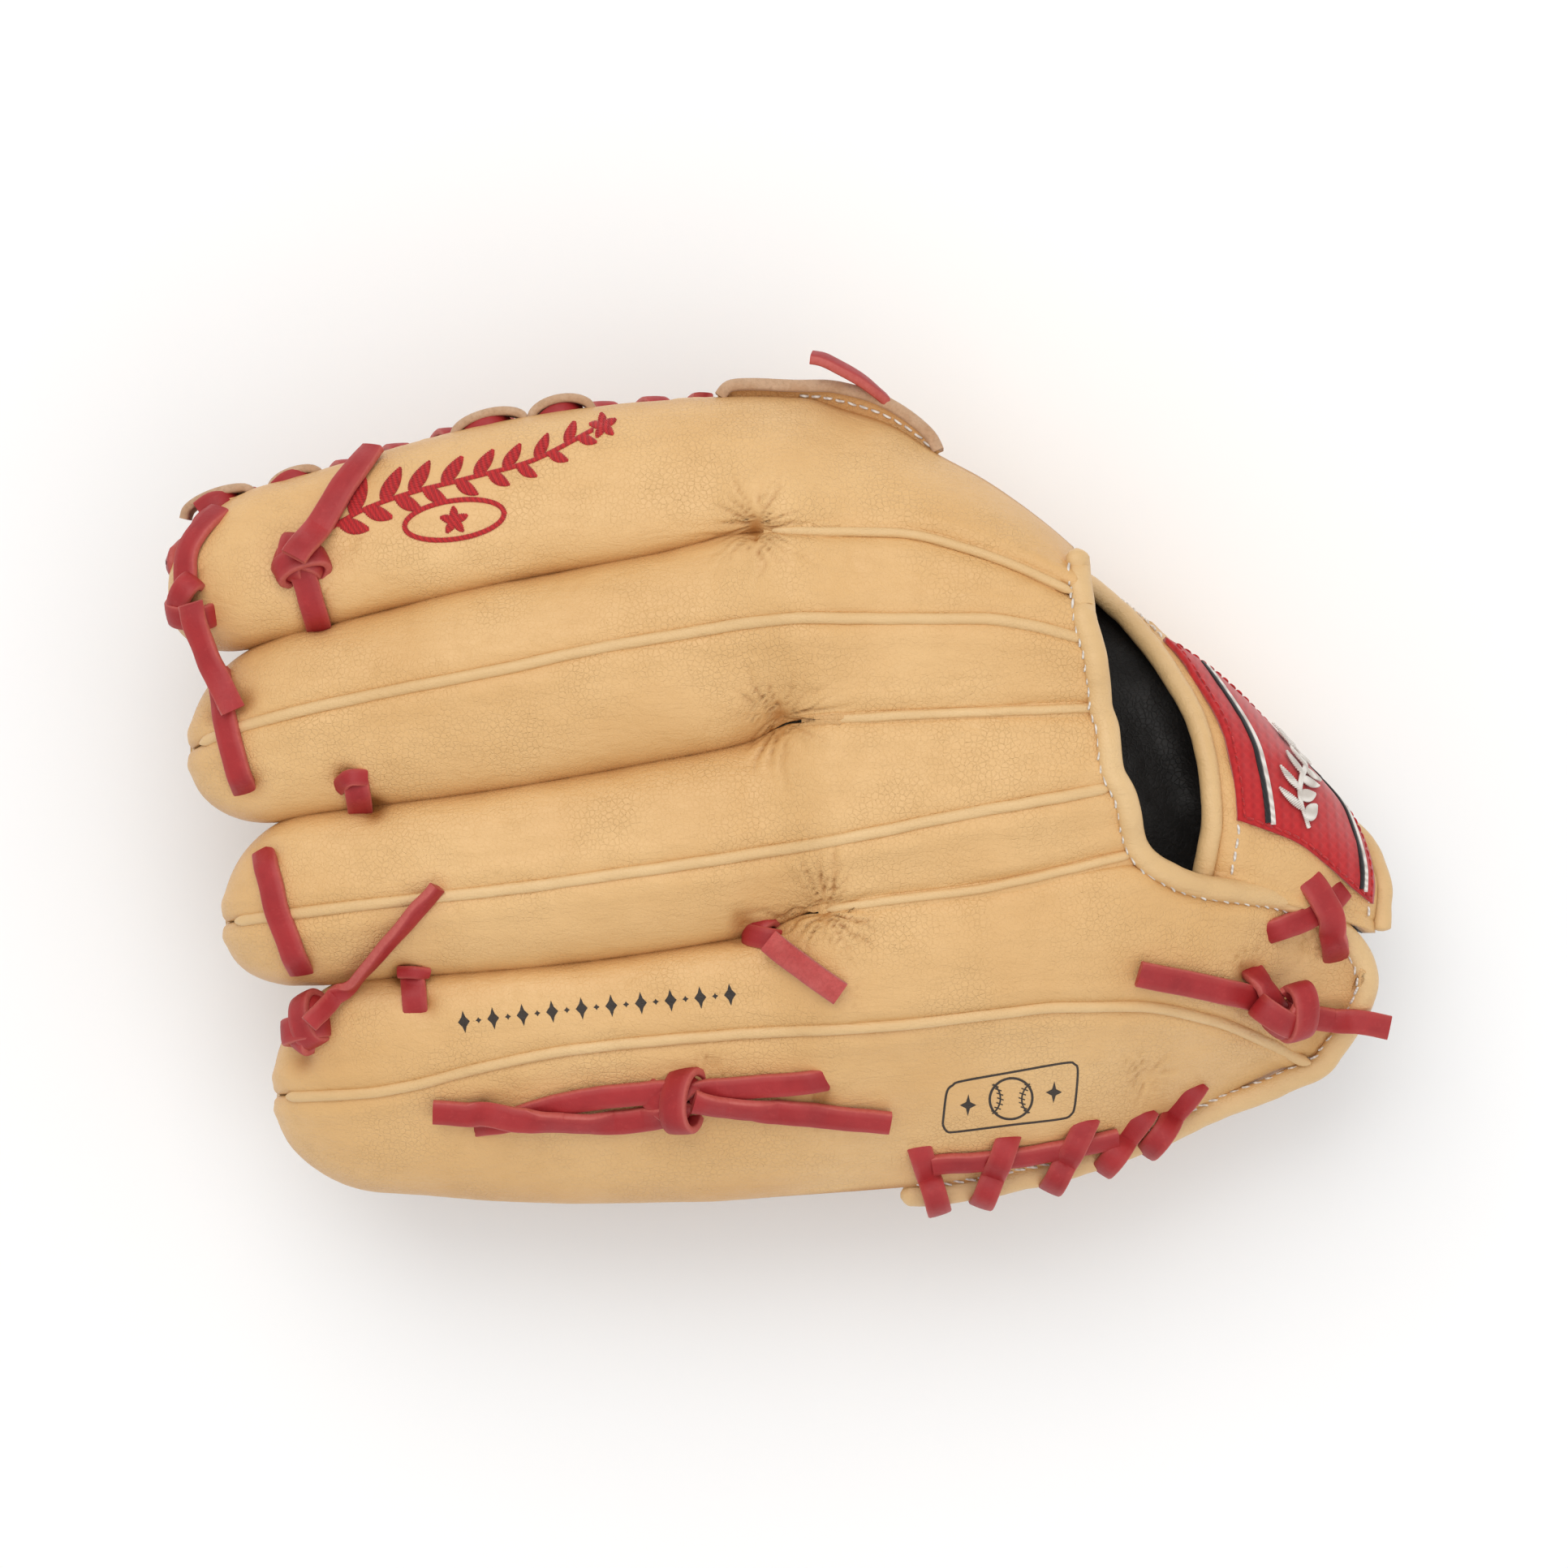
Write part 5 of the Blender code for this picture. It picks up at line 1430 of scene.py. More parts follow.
# ------------------------------------------------------------------ black lining inside the hand
def liner(name, p, outward, body, nodes=(), blend=None):
    n = normals_of(p)
    h = 0.25 * ripple(p[..., 0], p[..., 1], 77, 14, 3)
    return shell(name, p + n * h[..., None], M_BLACK, body, 1.2, outward, skin=False, nodes=nodes,
                 slot="black_lining", blend=blend)


TOP_LINE = curve((14, 82), (26, 78), (40, 68), (60, 54), (67, 48.5), (70.0, 38), (73, 26), (76, 10),
                 (80.4, -8), (84.6, -20), (95, -26.5), (118, -31), (131, -37), (138, -45))
xs = np.linspace(14, 129, 96)
s = np.linspace(0, 1, 60)[None, :]
y = lerp((G4(xs) + 7)[:, None], TOP_LINE(xs)[:, None] - 0.5, s)
x = xs[:, None] * np.ones_like(y)
z = np.array([[drop(a, b) for a, b in zip(ra, rb)] for ra, rb in zip(x, y)]) - 3.4
liner("back_lining", np.stack([x, y, z], -1), (0, 0, 1), FINGERS)

INNER_LINE = curve((30, 72), (50, 62), (62, 55), (70, 49.5), (76, 46), (84, 42), (95.5, 28), (103, 11),
                   (112, -2))
INNER_DEEP = curve((30, 78), (50, 77), (62, 72), (70, 58), (76, 40), (84, 49), (95.5, 67), (103, 78),
                   (112, 72))
xs = np.linspace(22, 116, 74)
fold_y = FOLD(xs) - 2
low_part = lerp((G4(xs) + 6)[:, None], fold_y[:, None], np.linspace(0, 1, 34)[None, :])
x = xs[:, None] * np.ones_like(low_part)
pad_lift = 6.4 * step(28, 42, x) * (1 - step(106, 110, x))
low_z = palm(x, low_part) + 3.4 + pad_lift
s = np.linspace(0, 1, 22)[None, 1:]
high_part = lerp(fold_y[:, None], INNER_LINE(xs)[:, None], s)
high_z = lerp(low_z[:, -1:], INNER_DEEP(xs)[:, None], s ** 1.6)
p = np.stack([xs[:, None] * np.ones((len(xs), 34 + 21)), np.concatenate([low_part, high_part], 1),
              np.concatenate([low_z, high_z], 1)], -1)
liner("palm_lining_skin", p, (0, 0, 1), FINGERS, ("palm_lining",))
us, vs = np.linspace(0.0, 1, 60), np.linspace(0.02, 0.98, 30)
U, V = us[:, None] * np.ones(30), vs[None, :] * np.ones((60, 1))
p, n = strap_frame(U, V, -3.6)
liner("strap_lining", p, (0, 0.3, 1), None, (), "strap")


# ------------------------------------------------------------------ web: raw loops, base tab, laces
def upright(name, plan, z_top, depth, thick):
    """Raw leather standing on edge along a plan line: thick across, depth deep, top at z_top(x, y)."""
    plan = along([(x, y) for x, y in plan], 0.8)
    top = np.array([z_top(x, y) for x, y in plan])
    path = np.column_stack([plan, top - depth])
    w, t = thick / 2, depth
    section = [(-w, 0), (w, 0), (w, t * 0.5), (w, t - 0.5), (w * 0.7, t - 0.08), (0, t + 0.06),
               (-w * 0.7, t - 0.08), (-w, t - 0.5), (-w, t * 0.5)]
    obj = sweep(name, path, (0, 0, 1), section, M_RAW, [0] * 9)
    attach(obj, FINGERS, (), "web_leather")


def index_top(x, y):
    return float(mid(x, G0(x)))


for k, (x, reach, half, low) in enumerate(((-137.5, 2.6, 8.5, 2.0), (-118.5, 2.4, 6.0, 2.5),
                                           (-71.4, 3.4, 8.8, 3.0), (-54.0, 3.8, 7.6, 3.0))):
    pts = []
    for a in np.linspace(0, math.pi, 9):
        px = x - half * math.cos(a)
        pts.append((px, float(G0(px)) - 1.2 + (reach + 1.2) * math.sin(a) ** 0.8))
    upright(f"web_loop_{k + 1}", pts, lambda a, b, h=low: index_top(a, b) + h, 9.0, 2.1)
    y = float(G0(x))
    path = np.array([(x - 4.4, y - 2.2, index_top(x, y) + 0.6), (x - 1.6, y - 0.2, index_top(x, y) + 1.2),
                     (x + 1.6, y + 0.4, index_top(x, y) + 0.8), (x + 3.8, y + 0.2, index_top(x, y) - 3.0)])
    path = along(path, 0.7)
    obj = ribbon(f"web_lace_bit_{k + 1}", path, np.tile((0, 0.35, 1.0), (len(path), 1)), 4.4, 2.0)
    attach(obj, FINGERS, (), "red_lace")

# raw edge of the base tab and its stitched face
tab_plan = [(-15.6, 93.6), (-13.4, 95.9), (-8.0, 96.4), (1.8, 96.0), (10.2, 95.9), (15.7, 94.9),
            (21.4, 93.2), (27.0, 90.4), (31.8, 87.0), (35.3, 83.5), (37.1, 79.9)]
upright("web_base_edge", tab_plan, lambda x, y: index_top(x, y) + 3.4 - 3.2 * float(step(18, 37, x)),
        7.0, 2.9)
plan = along(tab_plan, 0.9)
inner_edge = np.column_stack([plan[:, 0] - 2.0 * step(10, 36, plan[:, 0]),
                              G0(plan[:, 0] - 2.0 * step(10, 36, plan[:, 0])) - 2.6])
edge_z = np.array([index_top(a, b) for a, b in plan]) + 2.2 - 2.6 * step(18, 37, plan[:, 0])
sunk_z = np.array([index_top(a, b) for a, b in inner_edge]) - 1.2
tab = np.stack([np.column_stack([lerp(plan, inner_edge, s), lerp(edge_z, sunk_z, s)])
                for s in np.linspace(0, 1, 11)], 1)
shell("web_base_face", tab, M_TAB, FINGERS, 1.0, (0, 0, 1), np.zeros(tab.shape[:2]) + 0.1,
      skin=False, slot="web_leather")
n = normals_of(tab)
n[n[..., 2] < 0] *= -1
stitch_row("white", tab[22:-3, 4] + n[22:-3, 4] * 0.15, n[22:-3, 4], 3.0, 2.2)

path = along(np.array([(6.2, 101.4, 86.6), (9.0, 100.8, 86.8), (12.6, 99.0, 86.0), (16.6, 96.6, 84.6),
                       (20.4, 94.2, 82.6), (23.2, 92.2, 80.0)]), 0.7)
obj = ribbon("web_tail", path, np.tile((0.45, 0.85, 0.35), (len(path), 1)), 5.6, 2.3)
attach(obj, FINGERS, ("web_tail_lace",), "red_lace")


def spiral(name, start, end, line, body, node, turns, rw, rh):
    """Lace that winds round the web's edge from hole to hole."""
    n = turns * 26
    s = np.linspace(0, 1, n)
    a = s * turns * 2 * math.pi
    base = line(lerp(start, end, s))
    o, w = np.array((0.0, 1.0, 0.0)), np.array((0.0, 0.0, 1.0))
    path = base + o * (rw * np.cos(a))[:, None] + w * (rh * np.sin(a))[:, None]
    up = o * (rh * np.cos(a))[:, None] + w * (rw * np.sin(a))[:, None]
    obj = ribbon(name, path, up, 5.2, 1.8)
    attach(obj, body, (node,), "red_lace")


spiral("web_lacing_index", -134, -20,
       lambda x: np.stack([x, G0(x) - 0.6, mid(x, G0(x)) - 22.0], 1), FINGERS,
       "web_lace_index", 9, 2.6, 4.6)
spiral("web_lacing_thumb", -99, -14,
       lambda x: np.stack([x, THUMB_OUT(x) + 8.2, np.full(np.shape(x), 36.5)], 1), THUMB,
       "web_lace_thumb", 7, 2.6, 4.4)


# ------------------------------------------------------------------ embroidery and stamps
THREAD_PITCH = 0.42    # from one satin stitch to the next, mm


def on_glove(x, y):
    n = tilt(x, y, 0.8)
    return np.array((x, y, drop(x, y))), n


def on_strap(u, v):
    return strap_frame(u, v, 2.55)


def satin(kind, pairs, place, radius=0.26):
    """Satin stitches: one thread between each pair of plan points."""
    bag = STITCHES.setdefault(kind, {"v": [], "f": []})
    for a, b in pairs:
        pa, na = place(*a)
        pb, nb = place(*b)
        up = na + nb
        one_stitch(bag, pa, pb, up / np.linalg.norm(up), radius, 0.08)


def leaf(x, y, angle, length, width):
    """Pairs of points across a leaf that starts at x, y."""
    pairs = []
    c, s = math.cos(angle), math.sin(angle)
    for d in np.arange(0.3, length, THREAD_PITCH):
        w = width * math.sin(math.pi * (d / length) ** 0.8) ** 0.8 + 0.25
        skew = 0.7 * w
        ax, ay = d - skew * 0.4, w
        bx, by = d + skew * 0.4, -w
        pairs.append(((x + ax * c - ay * s, y + ax * s + ay * c),
                      (x + bx * c - by * s, y + bx * s + by * c)))
    return pairs


def band(points, width):
    """Pairs of points across a line of plan points."""
    p = along(points, THREAD_PITCH)
    run, side = plan_sides(p)
    side = side * width / 2
    return [(tuple(a + b + 0.25 * width * r), tuple(a - b - 0.25 * width * r))
            for a, b, r in zip(p, side, run)]


def star(x, y, size, turn=0.0):
    pairs = []
    for k in range(5):
        a = turn + math.pi / 2 + k * 2 * math.pi / 5
        pairs += leaf(x, y, a, size, size * 0.24)
    return pairs


def sprig(put, line, count, ends, skip, turns, sizes):
    """Pairs of leaves up a stem; sizes(s) gives each side's length and width, s from 0 to 1."""
    heading = np.gradient(line, axis=0)
    for k in range(count):
        s = k / (count - 1)
        j = int(lerp(ends[0], len(line) - ends[1], s))
        a = math.atan2(heading[j][1], heading[j][0])
        left, right = sizes(s)
        put(leaf(*line[j], a + turns[0], *left))
        put(leaf(*line[min(j + skip, len(line) - 1)], a - turns[1], *right))


def red_satin(pairs):
    satin("red", pairs, on_glove)


def index_leaves(s):
    size = lerp(12.5, 7.5, s)
    return (size * 0.82, size * 0.150), (size * 0.62, size * 0.135)


stem = along([(-112.5, 58.0), (-102, 64.5), (-90, 69.0), (-76, 72.5), (-60, 77.0), (-46, 84.5)], 1.0)
red_satin(band([tuple(q) for q in stem[::4]], 1.1))
sprig(red_satin, stem, 9, (4, 8), 3, (0.80, 0.75), index_leaves)
red_satin(star(-43.5, 85.6, 3.4, 0.2))
LEAN = 0.14            # how far the oval ring is turned, radians
ring = [(-78.6 + 12.0 * math.cos(a) * math.cos(LEAN) - 4.6 * math.sin(a) * math.sin(LEAN),
         62.6 + 12.0 * math.cos(a) * math.sin(LEAN) + 4.6 * math.sin(a) * math.cos(LEAN))
        for a in np.linspace(0, 2 * math.pi, 30)]
red_satin(band(ring, 1.2))
red_satin(star(-78.6, 62.4, 3.4, 0.1))
sew("red", "index_embroidery", M_RED_THREAD, FINGERS)


INK_LIFT, INK_SINK = 0.07, 0.15     # ink above the leather and its edge below it, mm


def decal(bag, outline, pitch=0.8):
    """Flat ink shape on the leather: a fan from the middle of a plan outline."""
    pts = []
    n = len(outline)
    for k in range(n):
        a, b = np.array(outline[k], float), np.array(outline[(k + 1) % n], float)
        m = max(int(np.linalg.norm(b - a) / pitch), 1)
        pts += [lerp(a, b, i / m) for i in range(m)]
    centre = np.mean(pts, axis=0)
    base = len(bag["v"])
    bag["v"].append((*centre, drop(*centre) + INK_LIFT))
    for q in pts:
        bag["v"].append((*q, drop(*q) + INK_LIFT))
    half = len(pts)
    for q in pts:
        bag["v"].append((*q, drop(*q) - INK_SINK))
    for k in range(half):
        a, b = base + 1 + k, base + 1 + (k + 1) % half
        bag["f"].append((base, a, b))
        bag["f"].append((a, a + half, b + half, b))


def ink_line(bag, points, width):
    p = along(points, 0.7)
    side = plan_sides(p)[1] * width / 2
    base = len(bag["v"])
    for a, b in zip(p, side):
        for q in (a + b, a - b):
            bag["v"].append((*q, drop(*q) + INK_LIFT))
        for q in (a + b, a - b):
            bag["v"].append((*q, drop(*q) - INK_SINK))
    for k in range(len(p) - 1):
        i = base + 4 * k
        bag["f"] += [(i, i + 1, i + 5, i + 4), (i, i + 4, i + 6, i + 2), (i + 1, i + 3, i + 7, i + 5)]


def ink_piece(name, bag):
    obj = made(name, bag["v"], bag["f"], M_INK, False)
    attach(obj, FINGERS, (), "black_lining")


bag = {"v": [], "f": []}
row = curve((-80, -57.6), (-51.8, -54.2), (-22.7, -51.4), (14, -47.6))
for k, x in enumerate(np.arange(-77.0, -10.0, 3.55)):
    y = float(row(x))
    a = math.atan2(float(row(x + 1) - row(x - 1)), 2.0)
    c, s_ = math.cos(a), math.sin(a)
    w, h = ((1.45, 2.7), (0.75, 0.75))[k % 2]
    shape = ((w, 0), (w * 0.35, h * 0.42), (0, h), (-w * 0.35, h * 0.42), (-w, 0),
             (-w * 0.35, -h * 0.42), (0, -h), (w * 0.35, -h * 0.42))
    decal(bag, [(x + px * c - py * s_, y + px * s_ + py * c) for px, py in shape])
ink_piece("stamped_row", bag)

bag = {"v": [], "f": []}
corners = [(38.2, -82.6), (38.9, -74.6), (40.4, -72.6), (42.6, -71.6), (55, -69.4), (67.4, -67.3),
           (69.6, -67.6), (70.6, -69.4), (70.3, -78.4), (69.4, -80.6), (67.0, -81.6), (54, -83.0),
           (41.4, -84.6), (39.2, -84.4)]
ink_line(bag, corners + corners[:1], 0.55)
ball = [(54.6 + 5.2 * math.cos(a), -76.2 + 5.2 * math.sin(a)) for a in np.linspace(0, 2 * math.pi, 25)]
ink_line(bag, ball, 0.6)
for side_ in (-1, 1):
    arc = [(54.6 + side_ * (7.0 - 4.4 * math.cos(a)), -76.2 + 4.6 * math.sin(a))
           for a in np.linspace(-0.95, 0.95, 9)]
    ink_line(bag, arc, 0.4)
    for a in np.linspace(-0.8, 0.8, 7):
        cx, cy = 54.6 + side_ * (7.0 - 4.4 * math.cos(a)), -76.2 + 4.6 * math.sin(a)
        ink_line(bag, [(cx - 0.8, cy + 0.3), (cx + 0.8, cy - 0.3)], 0.3)
for side_ in (-1, 1):
    cx = 54.6 + side_ * 10.4
    cy = -76.2 + side_ * 1.5
    decal(bag, [(cx - 2.0, cy), (cx - 0.5, cy + 0.8), (cx, cy + 2.8), (cx + 0.5, cy + 0.8), (cx + 2.0, cy),
                (cx + 0.5, cy - 0.8), (cx, cy - 2.8), (cx - 0.5, cy - 0.8)])
ink_piece("stamped_emblem", bag)


# ------------------------------------------------------------------ sewn label on the strap
def label_low(v):
    return lerp(0.195, 0.105, step(0.34, 1.0, v))


vs = np.linspace(0.055, 0.945, 44)
s = np.linspace(0, 1, 60)
V = vs[None, :] * np.ones((60, 1))
U = lerp(label_low(V), 0.70 - 0.02 * V, s[:, None])
p, n = strap_frame(U, V, 1.6)
rim = np.minimum(np.minimum(s, 1 - s)[:, None] * 40, np.minimum(V - 0.055, 0.945 - V) * 42)
h = 0.10 * ripple(p[..., 0], p[..., 1], 88, 9, 2) + 0.28 * (1 - np.exp(-(rim / 1.1) ** 2)) - 0.1
shell("strap_label_cloth", p + n * h[..., None], M_RED_CLOTH, None, 1.2, (0, 0.3, 1), skin=False,
      nodes=("strap_label",), slot="red_cloth", blend="strap")
for letter, v, material in (("a", 0.215, M_BLACK_THREAD), ("b", 0.245, M_WHITE_THREAD),
                            ("c", 0.835, M_BLACK_THREAD), ("d", 0.865, M_WHITE_THREAD)):
    u = np.linspace(float(label_low(v)) + 0.02, 0.67, 90)
    q, m = strap_frame(u, np.full(90, v), 2.05)
    w = 0.62
    section = [(-w, -0.4), (w, -0.4), (w, 0.12), (w * 0.5, 0.3), (-w * 0.5, 0.3), (-w, 0.12)]
    obj = sweep(f"label_stripe_{letter}", q, m, section, material)
    attach(obj, None, (), "red_cloth", "strap")


def label_satin(pairs):
    """White satin stitches at points in mm from the middle of the label."""
    satin("label_white", pairs, lambda a, b: on_strap(0.40 + a / 92.0, 0.535 + b / 42.0), 0.30)


spine = along([(-14.0, -3.4), (-7, -4.4), (0, -2.0), (7, 2.2), (14.0, 3.0)], 1.0)
label_satin(band([tuple(q) for q in spine[::3]], 1.1))
sprig(label_satin, spine, 5, (2, 6), 2, (0.85, 0.85),
      lambda s: ((6.8 - 2.0 * s, 1.15), (6.2 - 1.6 * s, 1.1)))
label_satin(star(16.2, 2.8, 3.2))
sew("label_white", "label_embroidery", M_WHITE_THREAD, None, "strap")
for v in (0.085, 0.915):
    u = np.linspace(float(label_low(v)) + 0.01, 0.69, 120)
    q, m = strap_frame(u, np.full(120, v), 1.78)
    stitch_row("label_red", q, m, 2.6, 2.0, 0.3)
for low in (True, False):
    v = np.linspace(0.09, 0.91, 90)
    u = label_low(v) + 0.014 if low else 0.688 - 0.02 * v
    q, m = strap_frame(u, v, 1.78)
    stitch_row("label_red", q, m, 2.6, 2.0, 0.3)
sew("label_red", "label_stitches", M_RED_THREAD, None, "strap")


# ------------------------------------------------------------------ felt pads, palm seams, thumb end
def pad(name, p, outward, body, node):
    """Wool felt pad with a soft, uneven surface and thinner edges."""
    rows, cols = p.shape[:2]
    n = facing(p, outward)
    a = np.minimum(np.linspace(0, 1, rows), np.linspace(1, 0, rows))[:, None]
    b = np.minimum(np.linspace(0, 1, cols), np.linspace(1, 0, cols))[None, :]
    rim = np.clip(np.minimum(a, b) / 0.12, 0, 1) ** 0.5
    h = 0.2 * ripple(p[..., 0], p[..., 1], 19, 9, 3) - 1.1 * (1 - rim)
    obj = shell(name, p + n * h[..., None], M_FELT, body, 3.6, outward, skin=False, nodes=(node,),
                slot="wool_felt")


for i, digit in enumerate(("index", "middle", "ring", "little")):
    xs = np.linspace(TIP[i] + 21, PALM_START - 9, 40)
    t = np.linspace(-0.5, 0.5, 14)
    x = xs[:, None] * np.ones(14)
    y, z = front(i, x, t[None, :] * np.ones_like(x), 5.6)
    pad(digit + "_pad", np.stack([x, y, z + 1.0], -1), (0, 0, -1), FINGERS, digit + "_felt")
xs, t = np.linspace(-89, PALM_START - 9, 36), np.linspace(-0.5, 0.5, 14)
x = xs[:, None] * np.ones(14)
y, z = thumb_front(x, t[None, :] * np.ones_like(x))
pad("thumb_pad", np.stack([x, y, z - 4.2], -1), (0, 0, 1), THUMB, "thumb_felt")


def palm_felt_pad(name, node, low, high, height, outward, body, cut=0.6):
    """Felt pad of the palm; low and high give its sides from its stations and its CAD box's edge."""
    box_low, box_high = (np.array(corner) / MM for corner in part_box(node))
    xs = np.linspace(box_low[0] + 0.6, box_high[0] - cut, 30)
    s = np.linspace(0.03, 0.97, 24)[None, :]
    y = lerp(low(xs, box_low[1])[:, None], high(xs, box_high[1])[:, None], s)
    x = xs[:, None] * np.ones_like(y)
    pad(name, np.stack([x, y, height(x, y)], -1), outward, body, node)


palm_felt_pad("palm_pad", "palm_felt", lambda x, edge: np.full(len(x), edge - SHIFT[1] + 0.6),
              lambda x, edge: np.minimum(edge - 1.2, FOLD(x) - 1.5),
              lambda x, y: palm(x, y) + 3.6, (0, 0, -1), FINGERS)
palm_felt_pad("heel_pad_little", "heel_felt_little", lambda x, edge: np.maximum(G4(x) + 17, edge),
              lambda x, edge: np.minimum(FOLD(x) - 1.5, edge),
              lambda x, y: palm(x, y) + 3.8, (0, 0, -1), FINGERS, cut=6.0)
palm_felt_pad("heel_pad_thumb", "heel_felt_thumb", lambda x, _: THUMB_IN(x) + 16.6,
              lambda x, _: thumb_fold(x) - 2.0,
              lambda x, y: thumb_palm(x, y) - 3.8, (0, 0, 1), THUMB)


def seam_strip(name, xs, ys, height, body, outward, bulge):
    """Leather strip over the seam between the finger fronts and the palm."""
    x = xs[:, None] * np.ones(len(ys))
    y = ys[None, :] * np.ones((len(xs), 1))
    z = height(x, y)
    s = np.linspace(-1, 1, len(xs))[:, None]
    z = z + bulge * (1 - s ** 4) + 0.12 * ripple(x, y, 61, 10, 2)
    # painted shade towards the strip's two long edges, where it meets the panels
    return shell(name, np.stack([x, y, z], -1), M_LEATHER, body, 1.6, outward,
                 0.4 * np.abs(s) ** 6 * np.ones_like(x), skin=False)


def fronts_height(x, y):
    best = np.full(x.shape, 999.0)
    for i in range(4):
        up, low = SEAMS[i](x), SEAMS[i + 1](x)
        c = MIDDLES[i](x) if MIDDLES[i] else (up + low) / 2
        t = np.where(y > c, (y - c) / (up - c), (y - c) / (c - low))
        z = mid(x, y) - 0.6 - 14.5 * arch(np.clip(t, -1, 1))
        best = np.where(np.abs(t) <= 1.0, z, best)
    return np.where(best > 900, mid(x, y) - 4, best)


ys = np.linspace(float(G4(-21)) + 2.5, 88, 120)
xs = np.linspace(-30, -12, 15)
seam_strip("finger_palm_strip", xs, ys,
           lambda x, y: lerp(fronts_height(x, y), palm(x, y), step(-27, -15, x)), FINGERS,
           (0, 0, -1), -0.5)
ys = np.linspace(-21.5, 35, 60)
seam_strip("thumb_palm_strip", xs, ys,
           lambda x, y: lerp(thumb_front(x, np.clip((y - (THUMB_OUT(x) + THUMB_IN(x)) / 2)
                                                    / ((THUMB_OUT(x) - THUMB_IN(x)) / 2), -1, 1))[1],
                             thumb_palm(x, y), step(-27, -15, x)), THUMB, (0, 0, 1), 0.5)


def edge_roll(name, points, body, up):
    """Plain roll of leather along an edge that no CAD piece stands for."""
    obj = sweep(name, along(points, 0.8), up, oval(2.2, 2.2 * 0.95, 16), M_WELT, taper=3)
    attach(obj, body, (), "welt_leather")


# the palm's wrist edges and the open end of the thumb
ys = np.linspace(float(G4(117)) + 4, float(FOLD(117)) - 1, 14)
edge_roll("palm_wrist_roll", [(118.6, y, float(palm(118.0, y)) + 1.2) for y in ys], FINGERS,
          (1, 0, 0.3))
ys = np.linspace(float(THUMB_IN(116)) + 1, float(thumb_fold(116)), 12)
edge_roll("thumb_palm_roll", [(116.8, y, float(thumb_palm(116.0, y)) - 1.2) for y in ys], THUMB,
          (1, 0, 0.3))
t = np.sin(np.linspace(-math.pi / 2, math.pi / 2, 40)) * 0.985
y, z = thumb_back(np.full(40, 121.6), t)
edge_roll("thumb_end_roll", [(122.4, a, max(b, 0) + 2.3) for a, b in zip(y, z)], THUMB, (1, 0, 0.2))
xs = np.linspace(20, 120.5, 50)
t = np.sin(np.linspace(-math.pi / 2, math.pi / 2, 44))[None, :] * 0.80
x = xs[:, None] * np.ones_like(t)
y, z = thumb_back(x, t * np.ones_like(x))
liner("thumb_lining", np.stack([x, y, z + 3.3], -1), (0, 0, 1), THUMB)
xs = np.linspace(20, 114, 50)
s = np.linspace(0, 1, 30)[None, :]
y = lerp((THUMB_IN(xs) + 5)[:, None], (thumb_fold(xs) - 1)[:, None], s)
x = xs[:, None] * np.ones_like(y)
drop_pad = 6.6 * step(30, 44, x) * (1 - step(106, 111, x)) * step(0, 0.25, s)
liner("thumb_palm_lining", np.stack([x, y, thumb_palm(x, y) - 3.2 - drop_pad], -1), (0, 0, -1), THUMB)

# skirt that carries the strap's end down to the thumb
v = np.linspace(0.0, 1.0, 40)
a, _ = strap_frame(np.full(40, 0.97), v, 0.4)
b = np.stack([a[:, 0] * 0.98 + 1.0, THUMB_OUT(a[:, 0]) + 0.8, np.full(40, THUMB_LEVEL - 3.0)], 1)
s = np.linspace(0, 1, 16)[None, :, None]
p = lerp(a[:, None, :], b[:, None, :], s) + np.array((0.4, 1, 0.2)) * (2.4 * np.sin(math.pi * s))
p = p + np.array((0, 1, 0)) * 0.25 * ripple(p[..., 0], p[..., 2], 14, 12, 2)[..., None]
shell("strap_anchor", p, M_LEATHER, THUMB, 2.4, (0.3, 1, 0.2), skin=False)


def finger_loop(name, xs, ys, height, outward, node):
    """Soft loop of lining that a finger slips through, its edges turned up a little."""
    s = np.linspace(0, 1, 36)[None, :]
    x = xs[:, None] * np.ones_like(s)
    y = lerp(np.full((len(xs), 1), float(ys[0])), np.full((len(xs), 1), float(ys[1])), s)
    rim = np.abs(np.linspace(-1, 1, len(xs)))[:, None] ** 6
    z = height(x, y, s) + 0.4 * rim + 0.18 * ripple(x, y, 23, 6, 2)
    shell(name, np.stack([x, y, z], -1), M_BLACK, FINGERS if outward > 0 else THUMB, 1.6, (0, 0, outward),
          skin=False, nodes=(node,), slot="black_lining")


finger_loop("little_finger_loop", np.linspace(-3, 12, 16), (-86, -66),
            lambda x, y, s: palm(x, y) + 4.6 + 10.4 * np.sin(math.pi * s), 1, "little_loop")
finger_loop("thumb_finger_loop", np.linspace(-4, 12, 16), (-4, 20),
            lambda x, y, s: 26.2 - 14.2 * np.sin(math.pi * s) + 0 * x, -1, "thumb_loop")


def wrist_cap(name, xs, ys, low, high, body):
    """Lining wrapped round the palm's edge at the wrist, over the ends of the felt."""
    s = np.linspace(0, 1, 12)[None, :]
    y = ys[:, None] * np.ones_like(s)
    z = lerp(low(ys)[:, None], high(ys)[:, None], s)
    x = xs + 1.0 * np.sin(math.pi * s) * np.ones_like(y)
    shell(name, np.stack([x, y, z], -1), M_BLACK, body, 1.2, (1, 0, 0), skin=False,
          slot="black_lining")


